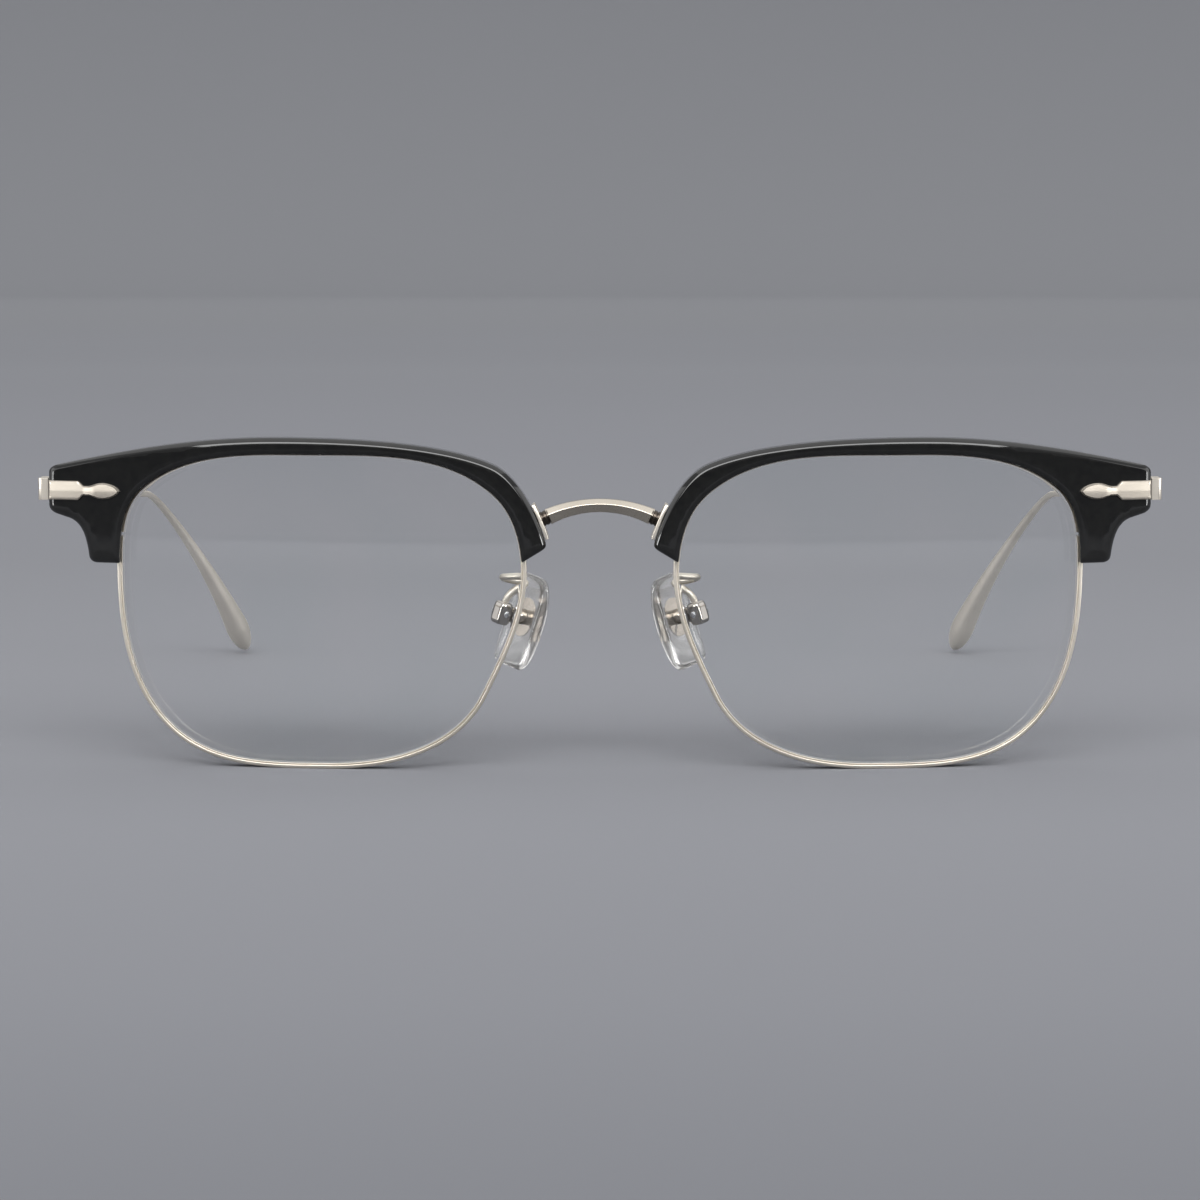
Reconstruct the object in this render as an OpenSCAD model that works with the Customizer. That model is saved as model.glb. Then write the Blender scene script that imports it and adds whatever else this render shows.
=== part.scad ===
// Browline glasses: black brow bars on a thin metal chassis with clear lenses.
// The frame: X runs across the face (+X is the wearer's left), the front looks
// towards -Y, the temples run towards +Y, and Z is up from the table.
// Every piece of a side is built for +X and mirrored for the other side.

/* [Lens opening] */
// Width of the opening inside one eyewire
lens_w = 51.6; // [46:0.1:56]
// Height of the opening inside one eyewire
lens_h = 39.8; // [36:0.1:44]
// Distance between the two openings across the nose
nose_gap = 20.2; // [18:0.2:24]
// Radius of the lens front, and of everything laid along it
base_r = 140; // [120:1:180]
// Angle by which each side wraps round the face
wrap = 6; // [3:0.5:9]
// Angle by which the lower rim leans back
lean = 2; // [0:0.5:4]

/* [Lens] */
// Thickness of a lens
lens_t = 1.8; // [1.6:0.1:2.2]
// Height of the bevel round a lens, which sits in the eyewire's groove
bevel_h = 0.3; // [0.2:0.05:0.35]
// Thickness of that bevel
bevel_t = 0.8; // [0.6:0.1:1]
// Clearance between lens and eyewire
lens_fit = 0.04; // [0.02:0.01:0.06]

/* [Eyewire] */
// Width of the eyewire, seen from the front
wire_w = 0.7; // [0.6:0.05:0.9]
// Depth of the eyewire from front to back
wire_d = 2.5; // [2.2:0.1:3]

/* [Brow] */
// Depth of a brow bar from front to back
brow_t = 3.4; // [3:0.1:4]
// How far the brow's front stands ahead of the lens front
brow_proud = 2; // [1.6:0.1:2.4]
// Height of the brow above the lens opening
brow_over = 2.3; // [2:0.1:3]
// Reach of the brow's lug beyond the lens opening
lug_reach = 9.7; // [8.5:0.1:11]
// Height of that lug
lug_h = 4.4; // [4:0.1:5]
// Width of the brow's outer leg
leg_w = 4.3; // [3.9:0.1:5]
// Overlap of the brow's nose end towards the bridge
nose_reach = 3.15; // [2.6:0.05:3.6]
// Clearance between the brow and the metal let into it
brow_fit = 0.06; // [0.04:0.01:0.1]

/* [Front plate] */
// Length of the arrow shaped plate on the lug
plate_l = 9.5; // [8:0.1:10.5]
// Height of its square outer part
plate_h = 2.45; // [2:0.05:2.7]
// Thickness of the plate
plate_t = 0.6; // [0.5:0.05:0.8]
// Depth to which it is let into the brow
plate_inset = 0.25; // [0.15:0.05:0.4]
// Half height of its waist
waist_h = 0.6; // [0.5:0.05:0.75]
// Half height of its bulb
bulb_h = 1.03; // [0.85:0.02:1.15]
// Radius of its two pins
plate_pin_r = 0.4; // [0.3:0.05:0.5]

/* [Bridge] */
// Rise of the arch above its ends
arch_rise = 1.4; // [1:0.1:2]
// Height of the arch's section
arch_h = 1.87; // [1.5:0.05:2.2]
// Depth of the arch's section
arch_d = 1.9; // [1.5:0.1:2.3]
// Length of the dark neck at each end of the arch
neck_l = 1; // [0.8:0.1:1.3]
// Radius of the neck
neck_r = 0.92; // [0.8:0.05:1]
// Thickness of the plate that holds the neck to the brow's edge
cheek_t = 0.45; // [0.35:0.05:0.6]

/* [End piece and hinge] */
// Thickness of the metal strap behind the brow
strap_t = 1.1; // [0.9:0.1:1.4]
// Height of that strap
strap_h = 2.6; // [2.2:0.1:3]
// Width of the block outboard of the brow
block_w = 1.35; // [1.2:0.05:1.8]
// Height of that block
block_h = 2.8; // [2.5:0.1:3.2]
// Height of the hinge barrel
barrel_h = 3.6; // [3.2:0.1:4.2]
// Radius of the hinge barrel
barrel_r = 1.15; // [1:0.05:1.3]
// Radius of the hinge screw's shank
hinge_pin_r = 0.55; // [0.45:0.05:0.6]
// Radial clearance of the hinge screw
hinge_fit = 0.03; // [0.02:0.01:0.05]
// Gap between the knuckles
knuckle_gap = 0.08; // [0.05:0.01:0.12]

/* [Temple] */
// Distance from the hinge axis back to where the temple starts to bend
temple_reach = 89.4; // [80:0.2:98]
// Height of the temple at the hinge
temple_h = 2.2; // [1.8:0.1:2.6]
// Thickness of the temple at the hinge
temple_t = 1.3; // [1.1:0.1:1.5]
// Diameter of the temple at the bend
temple_neck_d = 0.95; // [0.85:0.05:1.2]
// Width of the teardrop tip
tip_w = 3.8; // [3.2:0.1:4.4]
// Depth of the bent part, from the bend's start back to the tip
tip_back = 35.8; // [32:0.1:39]
// Distance by which the tip curves inwards
tip_in = 13.3; // [9:0.1:15]

/* [Nose pads] */
// Length of a nose pad
pad_l = 12.4; // [11:0.1:14]
// Width of a nose pad
pad_w = 7.2; // [6:0.1:8]
// Thickness of a nose pad
pad_t = 2; // [1.8:0.1:2.4]
// Angle by which the pads open towards the face
pad_splay = 51; // [40:1:60]
// Angle by which the pads lean together at the top
pad_lean = 17; // [14:1:25]
// Diameter of the pad arm's wire
arm_d = 0.9; // [0.8:0.05:1.1]
// Height of the polished box that holds the pad
box_h = 3; // [2.8:0.1:3.4]
// Width of that box
box_w = 2.1; // [2:0.1:2.6]

/* [Hidden] */

black = "#16171b";
champagne = "#c9c2b4";
burnished = "#4c4a49";
polished = "#d9d9d6";
silicone = "#c4c8ca";
clear = "#dfe6ea";
steel = "#b4b6b8";

// Facets from knot to knot of the lens outline, round a ball and round a screw
outline_steps = 11;
ball_fn = 200;
round_fn = 40;

// Edges of the opening, with the eyewire standing on the table
in_x = nose_gap / 2;
out_x = in_x + lens_w;
bottom_z = wire_w;
top_z = bottom_z + lens_h;
mid_x = (in_x + out_x) / 2;
mid_z = (bottom_z + top_z) / 2;

// The lens shape, anticlockwise from its widest point at the temple: each knot
// is a share of the width, a share of the height and the direction of the outline
LENS_SHAPE = [
  [1, 0.634, 90], [0.944, 0.887, 140], [0.521, 1, 180], [0.073, 0.877, 221],
  [0, 0.624, 270], [0.097, 0.235, 296], [0.483, 0, 360], [0.873, 0.111, 402.5],
];

// Centre of the ball that the whole side is laid on
ball = [
  mid_x - base_r * sin(wrap) * cos(lean),
  base_r * cos(wrap) * cos(lean),
  mid_z + base_r * sin(lean),
];

// Radii of the layers, from the lens outwards
lens_back_r = base_r - lens_t;
groove_mid_r = base_r - lens_t / 2;
wire_back_r = groove_mid_r - wire_d / 2;
wire_front_r = groove_mid_r + wire_d / 2;
brow_front_r = base_r + brow_proud;
brow_back_r = brow_front_r - brow_t;
strap_front_r = brow_back_r - brow_fit;
strap_back_r = strap_front_r - strap_t;
reach_in = 8;

// Outline of the brow
brow_top = top_z + brow_over;
crown_x = in_x + 0.6 * lens_w;
lug_x = out_x + lug_reach;
lug_top = brow_top - 4.7;
lug_bottom = lug_top - lug_h;
leg_x = out_x + leg_w;
leg_bottom = top_z - 14.1;
nose_tip_z = top_z - 13.5;
plate_z = lug_top - lug_h / 2 - 0.15;

// The rim lock joins the split eyewire behind the brow's outer leg
split_z = top_z - 10.3;
split_gap = 0.3;
lock_h = 1.9;
lock_w = 2.7;
lock_d = 2.1;
lock_screw_r = 0.45;
lock_head_r = 0.75;
lock_head_h = 0.6;
screw_fit = 0.03;

// Screw that draws the brow against the strap, from behind
brow_screw_r = 0.5;
brow_screw_head_r = 0.85;
brow_screw_head_h = 0.5;
brow_screw_bite = 2.2;
brow_screw_x = lug_x - 4.6;

// Hinge
block_gap = 0.25;
block_x0 = lug_x + block_gap;
block_x1 = block_x0 + block_w;
temple_x = block_x1 - 0.1 - temple_t / 2;
hinge_x = temple_x - temple_t / 2 - 0.1 - barrel_r;
butt_gap = 0.2;
joint_gap = 0.02;
cross_t = 1.6;
cross_y1 = depth_at(strap_back_r, lug_x, plate_z) + 0.9;
hinge_y = cross_y1 + barrel_r + 0.35;
knuckle_h = (barrel_h - 2 * knuckle_gap) / 3;
root_l = 4.6;

// Bent part of the temple, from its start to the middle of the tip's end
temple_slope = 4.7;
knee_in = 1.65;
bend_y = hinge_y + temple_reach;
bend_z = plate_z - (temple_reach - root_l) * tan(temple_slope);
tip_end = [temple_x - tip_in, bend_y + tip_back, 0.175 * tip_w];

// Nose pad
pad_pos = [in_x - 0.55, 9, mid_z - 1.7];
pad_shift = [0.1, 0, -0.55];
pad_back = -0.9;
box_d = 2;
box_gap = 2.4;
// Share of the box's diagonal left by the ball that rounds its corners
box_round = 0.47;
box_y1 = pad_back - box_gap;
box_mid = box_y1 - box_d / 2;
pad_screw_r = 0.4;

// The whole is centred on its own depth
front_y = ball[1] - brow_front_r + 0.45;
rear_y = tip_end[1] + 0.18 * tip_w;
shift_y = -(front_y + rear_y) / 2;

function depth_at(r, x, z) = ball[1] - sqrt(pow(r, 2) - pow(x - ball[0], 2) - pow(z - ball[2], 2));

// Point and outward normal on a cubic curve
function curve_at(c, t) = pow(1 - t, 3) * c[0] + 3 * pow(1 - t, 2) * t * c[1]
  + 3 * (1 - t) * t * t * c[2] + pow(t, 3) * c[3];
function slope_at(c, t) = pow(1 - t, 2) * (c[1] - c[0]) + 2 * (1 - t) * t * (c[2] - c[1])
  + t * t * (c[3] - c[2]);
function outward(v) = [v[1], -v[0]] / norm(v);
function curve(c, n, from = 0, to = 1, out = 0) = [
  for (i = [0:n]) let (t = from + (to - from) * i / n)
    out == 0 ? curve_at(c, t) : curve_at(c, t) + out * outward(slope_at(c, t))
];

// A curve from knot to knot, which turns evenly as an arc does
function knot_at(k) = [in_x + k[0] * lens_w, bottom_z + k[1] * lens_h];
function between(k, m) = let (
  p = knot_at(k), q = knot_at(m), turn = (m[2] - k[2] + 360) % 360,
  h = norm(q - p) / (3 * pow(cos(turn / 4), 2))
) [p, p + h * [cos(k[2]), sin(k[2])], q - h * [cos(m[2]), sin(m[2])], q];

// The opening's outline, moved outwards by d
function opening(d) = [
  for (k = [0:len(LENS_SHAPE) - 1]) let (
    c = between(LENS_SHAPE[k], LENS_SHAPE[(k + 1) % len(LENS_SHAPE)])
  ) for (i = [0:outline_steps - 1]) let (t = i / outline_steps)
    curve_at(c, t) + d * outward(slope_at(c, t))
];

// Nose edge of the brow, from the top down
nose_edge = [
  [in_x + 3.5, brow_top - 3.4], [in_x + 0.2, brow_top - 5],
  [in_x - nose_reach + 1.1, brow_top - 9.5], [in_x - nose_reach, brow_top - 13.2],
];

// Outline of the brow before the lens opening is cut out of it, anticlockwise
function brow_outline() = concat(
  [[out_x - 1, leg_bottom]],
  curve([[leg_x - 1.1, leg_bottom + 0.1], [leg_x - 0.4, leg_bottom + 0.15],
    [leg_x - 0.05, leg_bottom + 0.5], [leg_x, leg_bottom + 1.1]], 5),
  curve([[leg_x + 0.1, leg_bottom + 1.8], [leg_x + 0.5, lug_bottom - 3.3],
    [leg_x + 1.2, lug_bottom - 1.8], [lug_x - 2.4, lug_bottom - 1.4]], 8),
  curve([[lug_x - 0.9, lug_bottom - 0.95], [lug_x - 0.4, lug_bottom - 0.7],
    [lug_x, lug_bottom - 0.4], [lug_x, lug_bottom + 0.2]], 5),
  curve([[lug_x, lug_top - 0.1], [lug_x, lug_top + 0.4],
    [lug_x - 0.5, lug_top + 0.75], [lug_x - 1.1, lug_top + 0.9]], 5),
  curve([[lug_x - 1.1, lug_top + 0.9], [out_x - 0.8, brow_top - 1.8],
    [crown_x + 11, brow_top], [crown_x, brow_top]], 16),
  curve([[crown_x, brow_top], [crown_x - 8, brow_top],
    [in_x + 10.4, brow_top - 0.35], nose_edge[0]], 14),
  curve(nose_edge, 12),
  curve([nose_edge[3], nose_edge[3] + [-0.15, -0.5],
    nose_edge[3] + [-0.05, -0.75], nose_edge[3] + [0.5, -1.1]], 4),
  [[in_x - 0.4, nose_tip_z + 0.15], [in_x - 0.1, nose_tip_z]]
);

// Outline of the arrow shaped plate, grown by d, anticlockwise
function plate_outline(d = 0) = let (
  x = lug_x - 0.05 + d, h = plate_h / 2 + d, tip = lug_x - 0.05 - plate_l - 1.4 * d,
  half = concat(
    [[x, h], [x - 0.42 * plate_l - 2 * d, h], [x - 0.49 * plate_l - 2 * d, waist_h + d]],
    curve([[x - 0.55 * plate_l - 2 * d, waist_h + d], [x - 0.62 * plate_l, waist_h + d],
      [x - 0.66 * plate_l, bulb_h + d], [x - 0.78 * plate_l, bulb_h + d]], 6),
    curve([[x - 0.78 * plate_l, bulb_h + d], [x - 0.9 * plate_l, bulb_h + d],
      [tip + 0.7, 0.45 + d], [tip, 0]], 6)
  )
) concat(half, [for (i = [len(half) - 2:-1:0]) [half[i][0], -half[i][1]]]);

plate_line = [for (p = plate_outline()) p + [0, plate_z]];

// Everything of one side is drawn for +X; side is 1 for left and -1 for right
module of_side(side) {
  translate([0, shift_y, 0]) mirror([side < 0 ? 1 : 0, 0, 0]) children();
}

// A straight prism along Y on an outline in X and Z, longer than the front is deep
prism_back = 40;
prism_l = 60;

module prism(outline) {
  translate([0, prism_back, 0]) rotate([90, 0, 0]) linear_extrude(prism_l) polygon(outline);
}

// The part of that prism between two balls
module skin(outline, from_r, to_r) {
  intersection() {
    prism(outline);
    translate(ball) difference() {
      sphere(to_r, $fn = ball_fn);
      sphere(from_r, $fn = ball_fn);
    }
  }
}

// A cylinder along Y, from one depth to another
module bar_y(x, z, y0, y1, r) {
  translate([x, y0, z]) rotate([-90, 0, 0]) cylinder(r = r, h = y1 - y0, $fn = round_fn);
}

module eyewire(side) {
  color(champagne) of_side(side) difference() {
    skin(opening(wire_w), wire_back_r, wire_front_r);
    prism(opening(0));
    skin(opening(bevel_h + lens_fit), groove_mid_r - bevel_t / 2 - lens_fit,
      groove_mid_r + bevel_t / 2 + lens_fit);
    translate([out_x - 4, -10, split_z - split_gap / 2]) cube([8, 30, split_gap]);
  }
}

module lens(side) {
  color(clear, 0.35) of_side(side) {
    skin(opening(-lens_fit), lens_back_r, base_r);
    skin(opening(bevel_h), groove_mid_r - bevel_t / 2, groove_mid_r + bevel_t / 2);
  }
}

plate_pins = [lug_x - 2.2, lug_x - 7.4];
plate_back_r = brow_front_r - plate_inset;

// The two pins behind the front plate, and the holes that they sit in
module pins(fit = 0) {
  for (x = plate_pins) let (y = depth_at(plate_back_r, x, plate_z))
    bar_y(x, plate_z, y - 0.1, y + 1.7 + fit, plate_pin_r + fit);
}

module brow(side) {
  color(black) of_side(side) difference() {
    skin(brow_outline(), brow_back_r, brow_front_r);
    prism(opening(0));
    skin(opening(wire_w + brow_fit), brow_back_r - reach_in, wire_front_r + brow_fit);
    skin([for (p = plate_outline(brow_fit)) p + [0, plate_z]], plate_back_r, brow_front_r + 1);
    pins(screw_fit);
    brow_screw_shape(screw_fit);
  }
}

module front_plate(side) {
  color(champagne) of_side(side) {
    skin(plate_line, plate_back_r, plate_back_r + plate_t);
    pins();
  }
}

// The screw through the strap into the brow, grown by its fit; its head is let into the strap
brow_screw_y = depth_at(strap_back_r, brow_screw_x, plate_z) - 0.2;

module brow_screw_shape(fit = 0) {
  bar_y(brow_screw_x, plate_z, brow_screw_y - strap_t - brow_screw_bite - fit, brow_screw_y,
    brow_screw_r + fit);
}

module brow_screw(side) {
  slot_y = brow_screw_y + brow_screw_head_h / 2;
  color(steel) of_side(side) {
    brow_screw_shape();
    difference() {
      bar_y(brow_screw_x, plate_z, brow_screw_y, brow_screw_y + brow_screw_head_h, brow_screw_head_r);
      translate([brow_screw_x - 1, slot_y, plate_z - 0.1]) cube([2, 1, 0.2]);
    }
  }
}

lock_x = out_x + wire_w + 1.35;
lock_y = depth_at(strap_front_r - lock_d / 2, lock_x, split_z);

// Rim lock screw, from below, grown by its fit
module lock_screw_shape(fit = 0) {
  translate([lock_x, lock_y, split_z - split_gap / 2 - lock_h])
    cylinder(r = lock_screw_r + fit, h = 2 * lock_h + split_gap - 0.4 + fit, $fn = round_fn);
}

module rim_lock_screw(side) {
  z = split_z - split_gap / 2 - lock_h - lock_head_h;
  color(steel) of_side(side) {
    lock_screw_shape();
    difference() {
      translate([lock_x, lock_y, z]) cylinder(r = lock_head_r, h = lock_head_h, $fn = round_fn);
      translate([lock_x - 1, lock_y - 0.1, z - 1]) cube([2, 0.2, 1.25]);
    }
  }
}

// One half of the rim lock, soldered to the eyewire's outer edge
module lock_half(z0, z1) {
  difference() {
    skin([[out_x - 4, z0], [lock_x + lock_w / 2, z0], [lock_x + lock_w / 2, z1], [out_x - 4, z1]],
      strap_front_r - lock_d, strap_front_r);
    prism(opening(wire_w));
    lock_screw_shape(screw_fit);
  }
}

module rim_lock(side) {
  color(champagne) of_side(side)
    lock_half(split_z - split_gap / 2 - lock_h, split_z - split_gap / 2);
}

// Seen from above: the block outboard of the brow and the cross piece to the hinge
function block_plan() = let (
  y0 = depth_at(brow_front_r, lug_x, plate_z) + 1.4, y1 = cross_y1, r = 0.55
) concat(
  [[hinge_x - barrel_r, y1], [hinge_x - barrel_r, y1 - cross_t], [block_x0, y1 - cross_t], [block_x0, y0]],
  [for (i = [0:6]) [block_x1 - r + r * sin(15 * i), y0 + r - r * cos(15 * i)]],
  [[block_x1, y1]]
);

// A barrel on the hinge axis between two heights, with its bore
module knuckle(z0, z1) {
  translate([hinge_x, hinge_y, z0]) cylinder(r = barrel_r, h = z1 - z0, $fn = round_fn);
}

module hinge_bore() {
  translate([hinge_x, hinge_y, plate_z - barrel_h]) cylinder(r = hinge_pin_r + hinge_fit,
    h = 2 * barrel_h, $fn = round_fn);
}

barrel_z0 = plate_z - barrel_h / 2;

module end_piece(side) {
  leg_top = plate_z + strap_h / 2;
  color(champagne) of_side(side) {
    difference() {
      union() {
        skin([[out_x - 6, plate_z - strap_h / 2], [block_x0 + 0.3, plate_z - strap_h / 2],
          [block_x0 + 0.3, leg_top], [out_x - 6, leg_top]], strap_back_r, strap_front_r);
        skin([[out_x - 6, split_z + 1], [lock_x + lock_w / 2, split_z + 1],
          [lock_x + lock_w / 2, leg_top], [out_x - 6, leg_top]], strap_back_r, strap_front_r);
        translate([0, 0, plate_z - block_h / 2]) linear_extrude(block_h) polygon(block_plan());
        for (z = [barrel_z0, barrel_z0 + 2 * (knuckle_h + knuckle_gap)]) {
          knuckle(z, z + knuckle_h);
          translate([hinge_x - barrel_r, cross_y1 - 0.6, z])
            cube([2 * barrel_r, hinge_y - cross_y1 + 0.6, knuckle_h]);
        }
      }
      prism(opening(wire_w));
      brow_screw_shape(screw_fit);
      bar_y(brow_screw_x, plate_z, brow_screw_y - 0.01, brow_screw_y + 2, brow_screw_head_r + 0.1);
      lock_screw_shape(screw_fit);
      hinge_bore();
      translate([block_x1 - 0.15, 0, plate_z - 0.07]) cube([1, cross_y1 + 1, 0.14]);
    }
    lock_half(split_z + split_gap / 2, split_z + split_gap / 2 + lock_h);
  }
}

module hinge_screw(side) {
  z1 = barrel_z0 + barrel_h;
  color(steel) of_side(side) {
    translate([hinge_x, hinge_y, barrel_z0]) cylinder(r = hinge_pin_r, h = barrel_h, $fn = round_fn);
    difference() {
      translate([hinge_x, hinge_y, z1]) cylinder(r = barrel_r - 0.15, h = 0.4, $fn = round_fn);
      translate([hinge_x - 2, hinge_y - 0.12, z1 + 0.2]) cube([4, 0.24, 1]);
    }
  }
}

// Root of the temple: a flat blade with the middle knuckle on its inner side
module temple_hinge(side) {
  z0 = barrel_z0 + knuckle_h + knuckle_gap;
  y0 = cross_y1 + butt_gap;
  color(champagne) of_side(side) difference() {
    union() {
      translate([temple_x - temple_t / 2, y0, plate_z - temple_h / 2])
        cube([temple_t, hinge_y + root_l - y0, temple_h]);
      knuckle(z0, z0 + knuckle_h);
      translate([hinge_x, hinge_y - 0.5, z0]) cube([temple_x - hinge_x, 0.5 + barrel_r, knuckle_h]);
    }
    hinge_bore();
  }
}

// Where the neck stands on the brow's nose edge, and how it is turned
neck_at = 0.77;
neck_foot = curve_at(nose_edge, neck_at);
neck_out = outward(slope_at(nose_edge, neck_at));
neck_y = depth_at((brow_front_r + brow_back_r) / 2, neck_foot[0], neck_foot[1]);
neck_start = neck_foot + (brow_fit + cheek_t) * neck_out;
neck_end = neck_start + neck_l * neck_out;
collar_l = 0.3;

// Thin plate along the brow's nose edge, with a foot behind the brow to the eyewire
module bridge_cheek(side) {
  inner = curve(nose_edge, 8, 0.6, 0.98, brow_fit);
  outer = curve(nose_edge, 8, 0.6, 0.98, brow_fit + cheek_t);
  foot_z = neck_foot[1] - 1.1;
  foot_h = 2.2;
  color(champagne) of_side(side) {
    skin(concat(inner, [for (i = [8:-1:0]) outer[i]]), strap_back_r, brow_front_r - 0.4);
    difference() {
      skin([[in_x - 2.5, foot_z], [in_x + 4, foot_z], [in_x + 4, foot_z + foot_h],
        [in_x - 2.2, foot_z + foot_h]], strap_back_r, strap_front_r);
      prism(opening(wire_w));
    }
  }
}

// Places its children with Z along the neck, from its start
module at_neck() {
  translate([neck_start[0], neck_y, neck_start[1]])
    rotate([0, atan2(neck_out[0], neck_out[1]), 0]) children();
}

module bridge_neck(side) {
  color(burnished) of_side(side) at_neck() {
    translate([0, 0, 0.02]) cylinder(r = neck_r, h = neck_l - 0.04, $fn = round_fn);
    translate([0, 0, neck_l - 0.04 - collar_l]) cylinder(r = neck_r + 0.06, h = collar_l, $fn = round_fn);
  }
}

// The arch: a faceted bar turned about an axis along Y
module bridge() {
  half = neck_end[0];
  arch_r = (pow(half, 2) + pow(arch_rise, 2)) / (2 * arch_rise);
  reach = asin(half / arch_r) - 1;
  lo = arch_r - arch_h / 2;
  hi = arch_r + arch_h / 2;
  d = arch_d / 2;
  color(champagne) translate([0, shift_y + neck_y, neck_end[1] + arch_rise - arch_r])
    rotate([90, 0, 0]) rotate([0, 0, 90 - reach]) rotate_extrude(angle = 2 * reach, $fn = 200)
      polygon([[lo, -0.75 * d], [lo + 0.2, -d], [hi - 0.2, -d], [hi, -0.75 * d],
        [hi, 0.3 * d], [hi - 0.4 * arch_h, d], [lo, 0.45 * d]]);
}

// Nose pad frame: X across the pad towards the temple, Y towards the nose, Z up the pad
module at_pad() {
  translate(pad_pos) rotate([0, -pad_lean, 0]) rotate([0, 0, pad_splay]) children();
}

// A point of that frame in the frame of the side
function from_pad(p) = let (
  x = p[0] * cos(pad_splay) - p[1] * sin(pad_splay),
  y = p[0] * sin(pad_splay) + p[1] * cos(pad_splay)
) pad_pos + [x * cos(pad_lean) - p[2] * sin(pad_lean), y, x * sin(pad_lean) + p[2] * cos(pad_lean)];

// Outline of a pad: a rounded box, broader below, with equal turns from point to point
function rounded_box(l, w) = [
  for (a = [0:9:351]) [
    w / 2 * (1 - 0.1 * sin(a)) * sign(cos(a)) * pow(abs(cos(a)), pad_square),
    l / 2 * sign(sin(a)) * pow(abs(sin(a)), pad_square)
  ]
];

core_l = 5.2;
core_w = 3.6;
core_t = 0.5;
core_fit = 0.04;
boss_r = 1;
boss_l = 2.2;
tongue_w = 1.1;
tongue_h = 1.4;
pad_dome_r = 16;
pad_square = 0.45;

// The metal plate inside a pad, with the tongue that enters the box, grown by a fit
module core_shape(fit = 0) {
  translate([0, core_t / 2 + fit, 0]) rotate([90, 0, 0]) linear_extrude(core_t + 2 * fit) {
    translate([-core_w / 2 - fit, core_w / 2 - core_l / 2]) square([core_w + 2 * fit, core_l - core_w]);
    for (z = [-1, 1]) translate([0, z * (core_l - core_w) / 2]) circle(core_w / 2 + fit, $fn = round_fn);
  }
  translate([0, pad_back - boss_l, 0]) rotate([-90, 0, 0])
    cylinder(r = boss_r + fit, h = boss_l - pad_back, $fn = round_fn);
  translate([-tongue_w / 2 - fit, box_mid, -tongue_h / 2 - fit])
    cube([tongue_w + 2 * fit, -box_mid, tongue_h + 2 * fit]);
}

module tongue_bore() {
  translate([-box_w, box_mid, 0]) rotate([0, 90, 0]) cylinder(r = pad_screw_r + screw_fit,
    h = 2 * box_w, $fn = round_fn);
}

module pad_core(side) {
  color(burnished) of_side(side) at_pad() difference() {
    union() {
      core_shape();
      translate([-tongue_w / 2, box_mid, 0]) rotate([0, 90, 0])
        cylinder(r = tongue_h / 2, h = tongue_w, $fn = round_fn);
    }
    tongue_bore();
  }
}

module nose_pad(side) {
  color(silicone, 0.6) of_side(side) at_pad() difference() {
    translate(pad_shift + [0, pad_t + pad_back, 0]) intersection() {
      rotate([90, 0, 0]) linear_extrude(pad_t) polygon(rounded_box(pad_l, pad_w));
      translate([0, -pad_dome_r, 0]) sphere(pad_dome_r, $fn = ball_fn);
    }
    core_shape(core_fit);
  }
}

// Clevis box on the pad arm, open towards the pad
module pad_box(side) {
  slot_w = tongue_w + 0.2;
  color(polished) of_side(side) at_pad() difference() {
    intersection() {
      translate([-box_w / 2, box_mid - box_d / 2, -box_h / 2]) cube([box_w, box_d, box_h]);
      translate([0, box_mid, 0]) sphere(box_round * norm([box_w, box_d, box_h]), $fn = ball_fn);
    }
    translate([-slot_w / 2, box_mid - tongue_h / 2 - 0.1, -tongue_h / 2 - 0.35])
      cube([slot_w, 2 * box_d, tongue_h + 0.7]);
    tongue_bore();
  }
}

module pad_screw(side) {
  color(steel) of_side(side) at_pad() {
    translate([-box_w / 2 - 0.1, box_mid, 0]) rotate([0, 90, 0])
      cylinder(r = pad_screw_r, h = box_w + 0.1, $fn = round_fn);
    difference() {
      translate([box_w / 2, box_mid, 0]) rotate([0, 90, 0]) cylinder(r = 0.7, h = 0.35, $fn = round_fn);
      translate([box_w / 2 + 0.15, box_mid - 1, -0.08]) cube([1, 2, 0.16]);
    }
  }
}

function unit(v) = v / norm(v);

// A tube along a path: a ring of points per path point, each an ellipse in the
// plane across the path with radii a (level) and b (upwards), and two flat ends
module tube(path, a, b, sides, square = 1) {
  last = len(path) - 1;
  points = [for (i = [0:last]) let (
    t = unit(path[min(i + 1, last)] - path[max(i - 1, 0)]),
    s = unit(cross(t, [0, 0, 1])),
    u = cross(s, t)
  ) for (k = [0:sides - 1]) let (c = cos(360 * k / sides), n = sin(360 * k / sides))
    path[i] + a[i] * sign(c) * pow(abs(c), square) * s + b[i] * sign(n) * pow(abs(n), square) * u];
  faces = concat(
    [[for (k = [0:sides - 1]) k]],
    [[for (k = [sides - 1:-1:0]) last * sides + k]],
    [for (i = [0:last - 1]) for (k = [0:sides - 1]) let (
      p = i * sides + k, q = i * sides + (k + 1) % sides
    ) each [[p, p + sides, q], [q, p + sides, q + sides]]]
  );
  polyhedron(points, faces);
}

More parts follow.
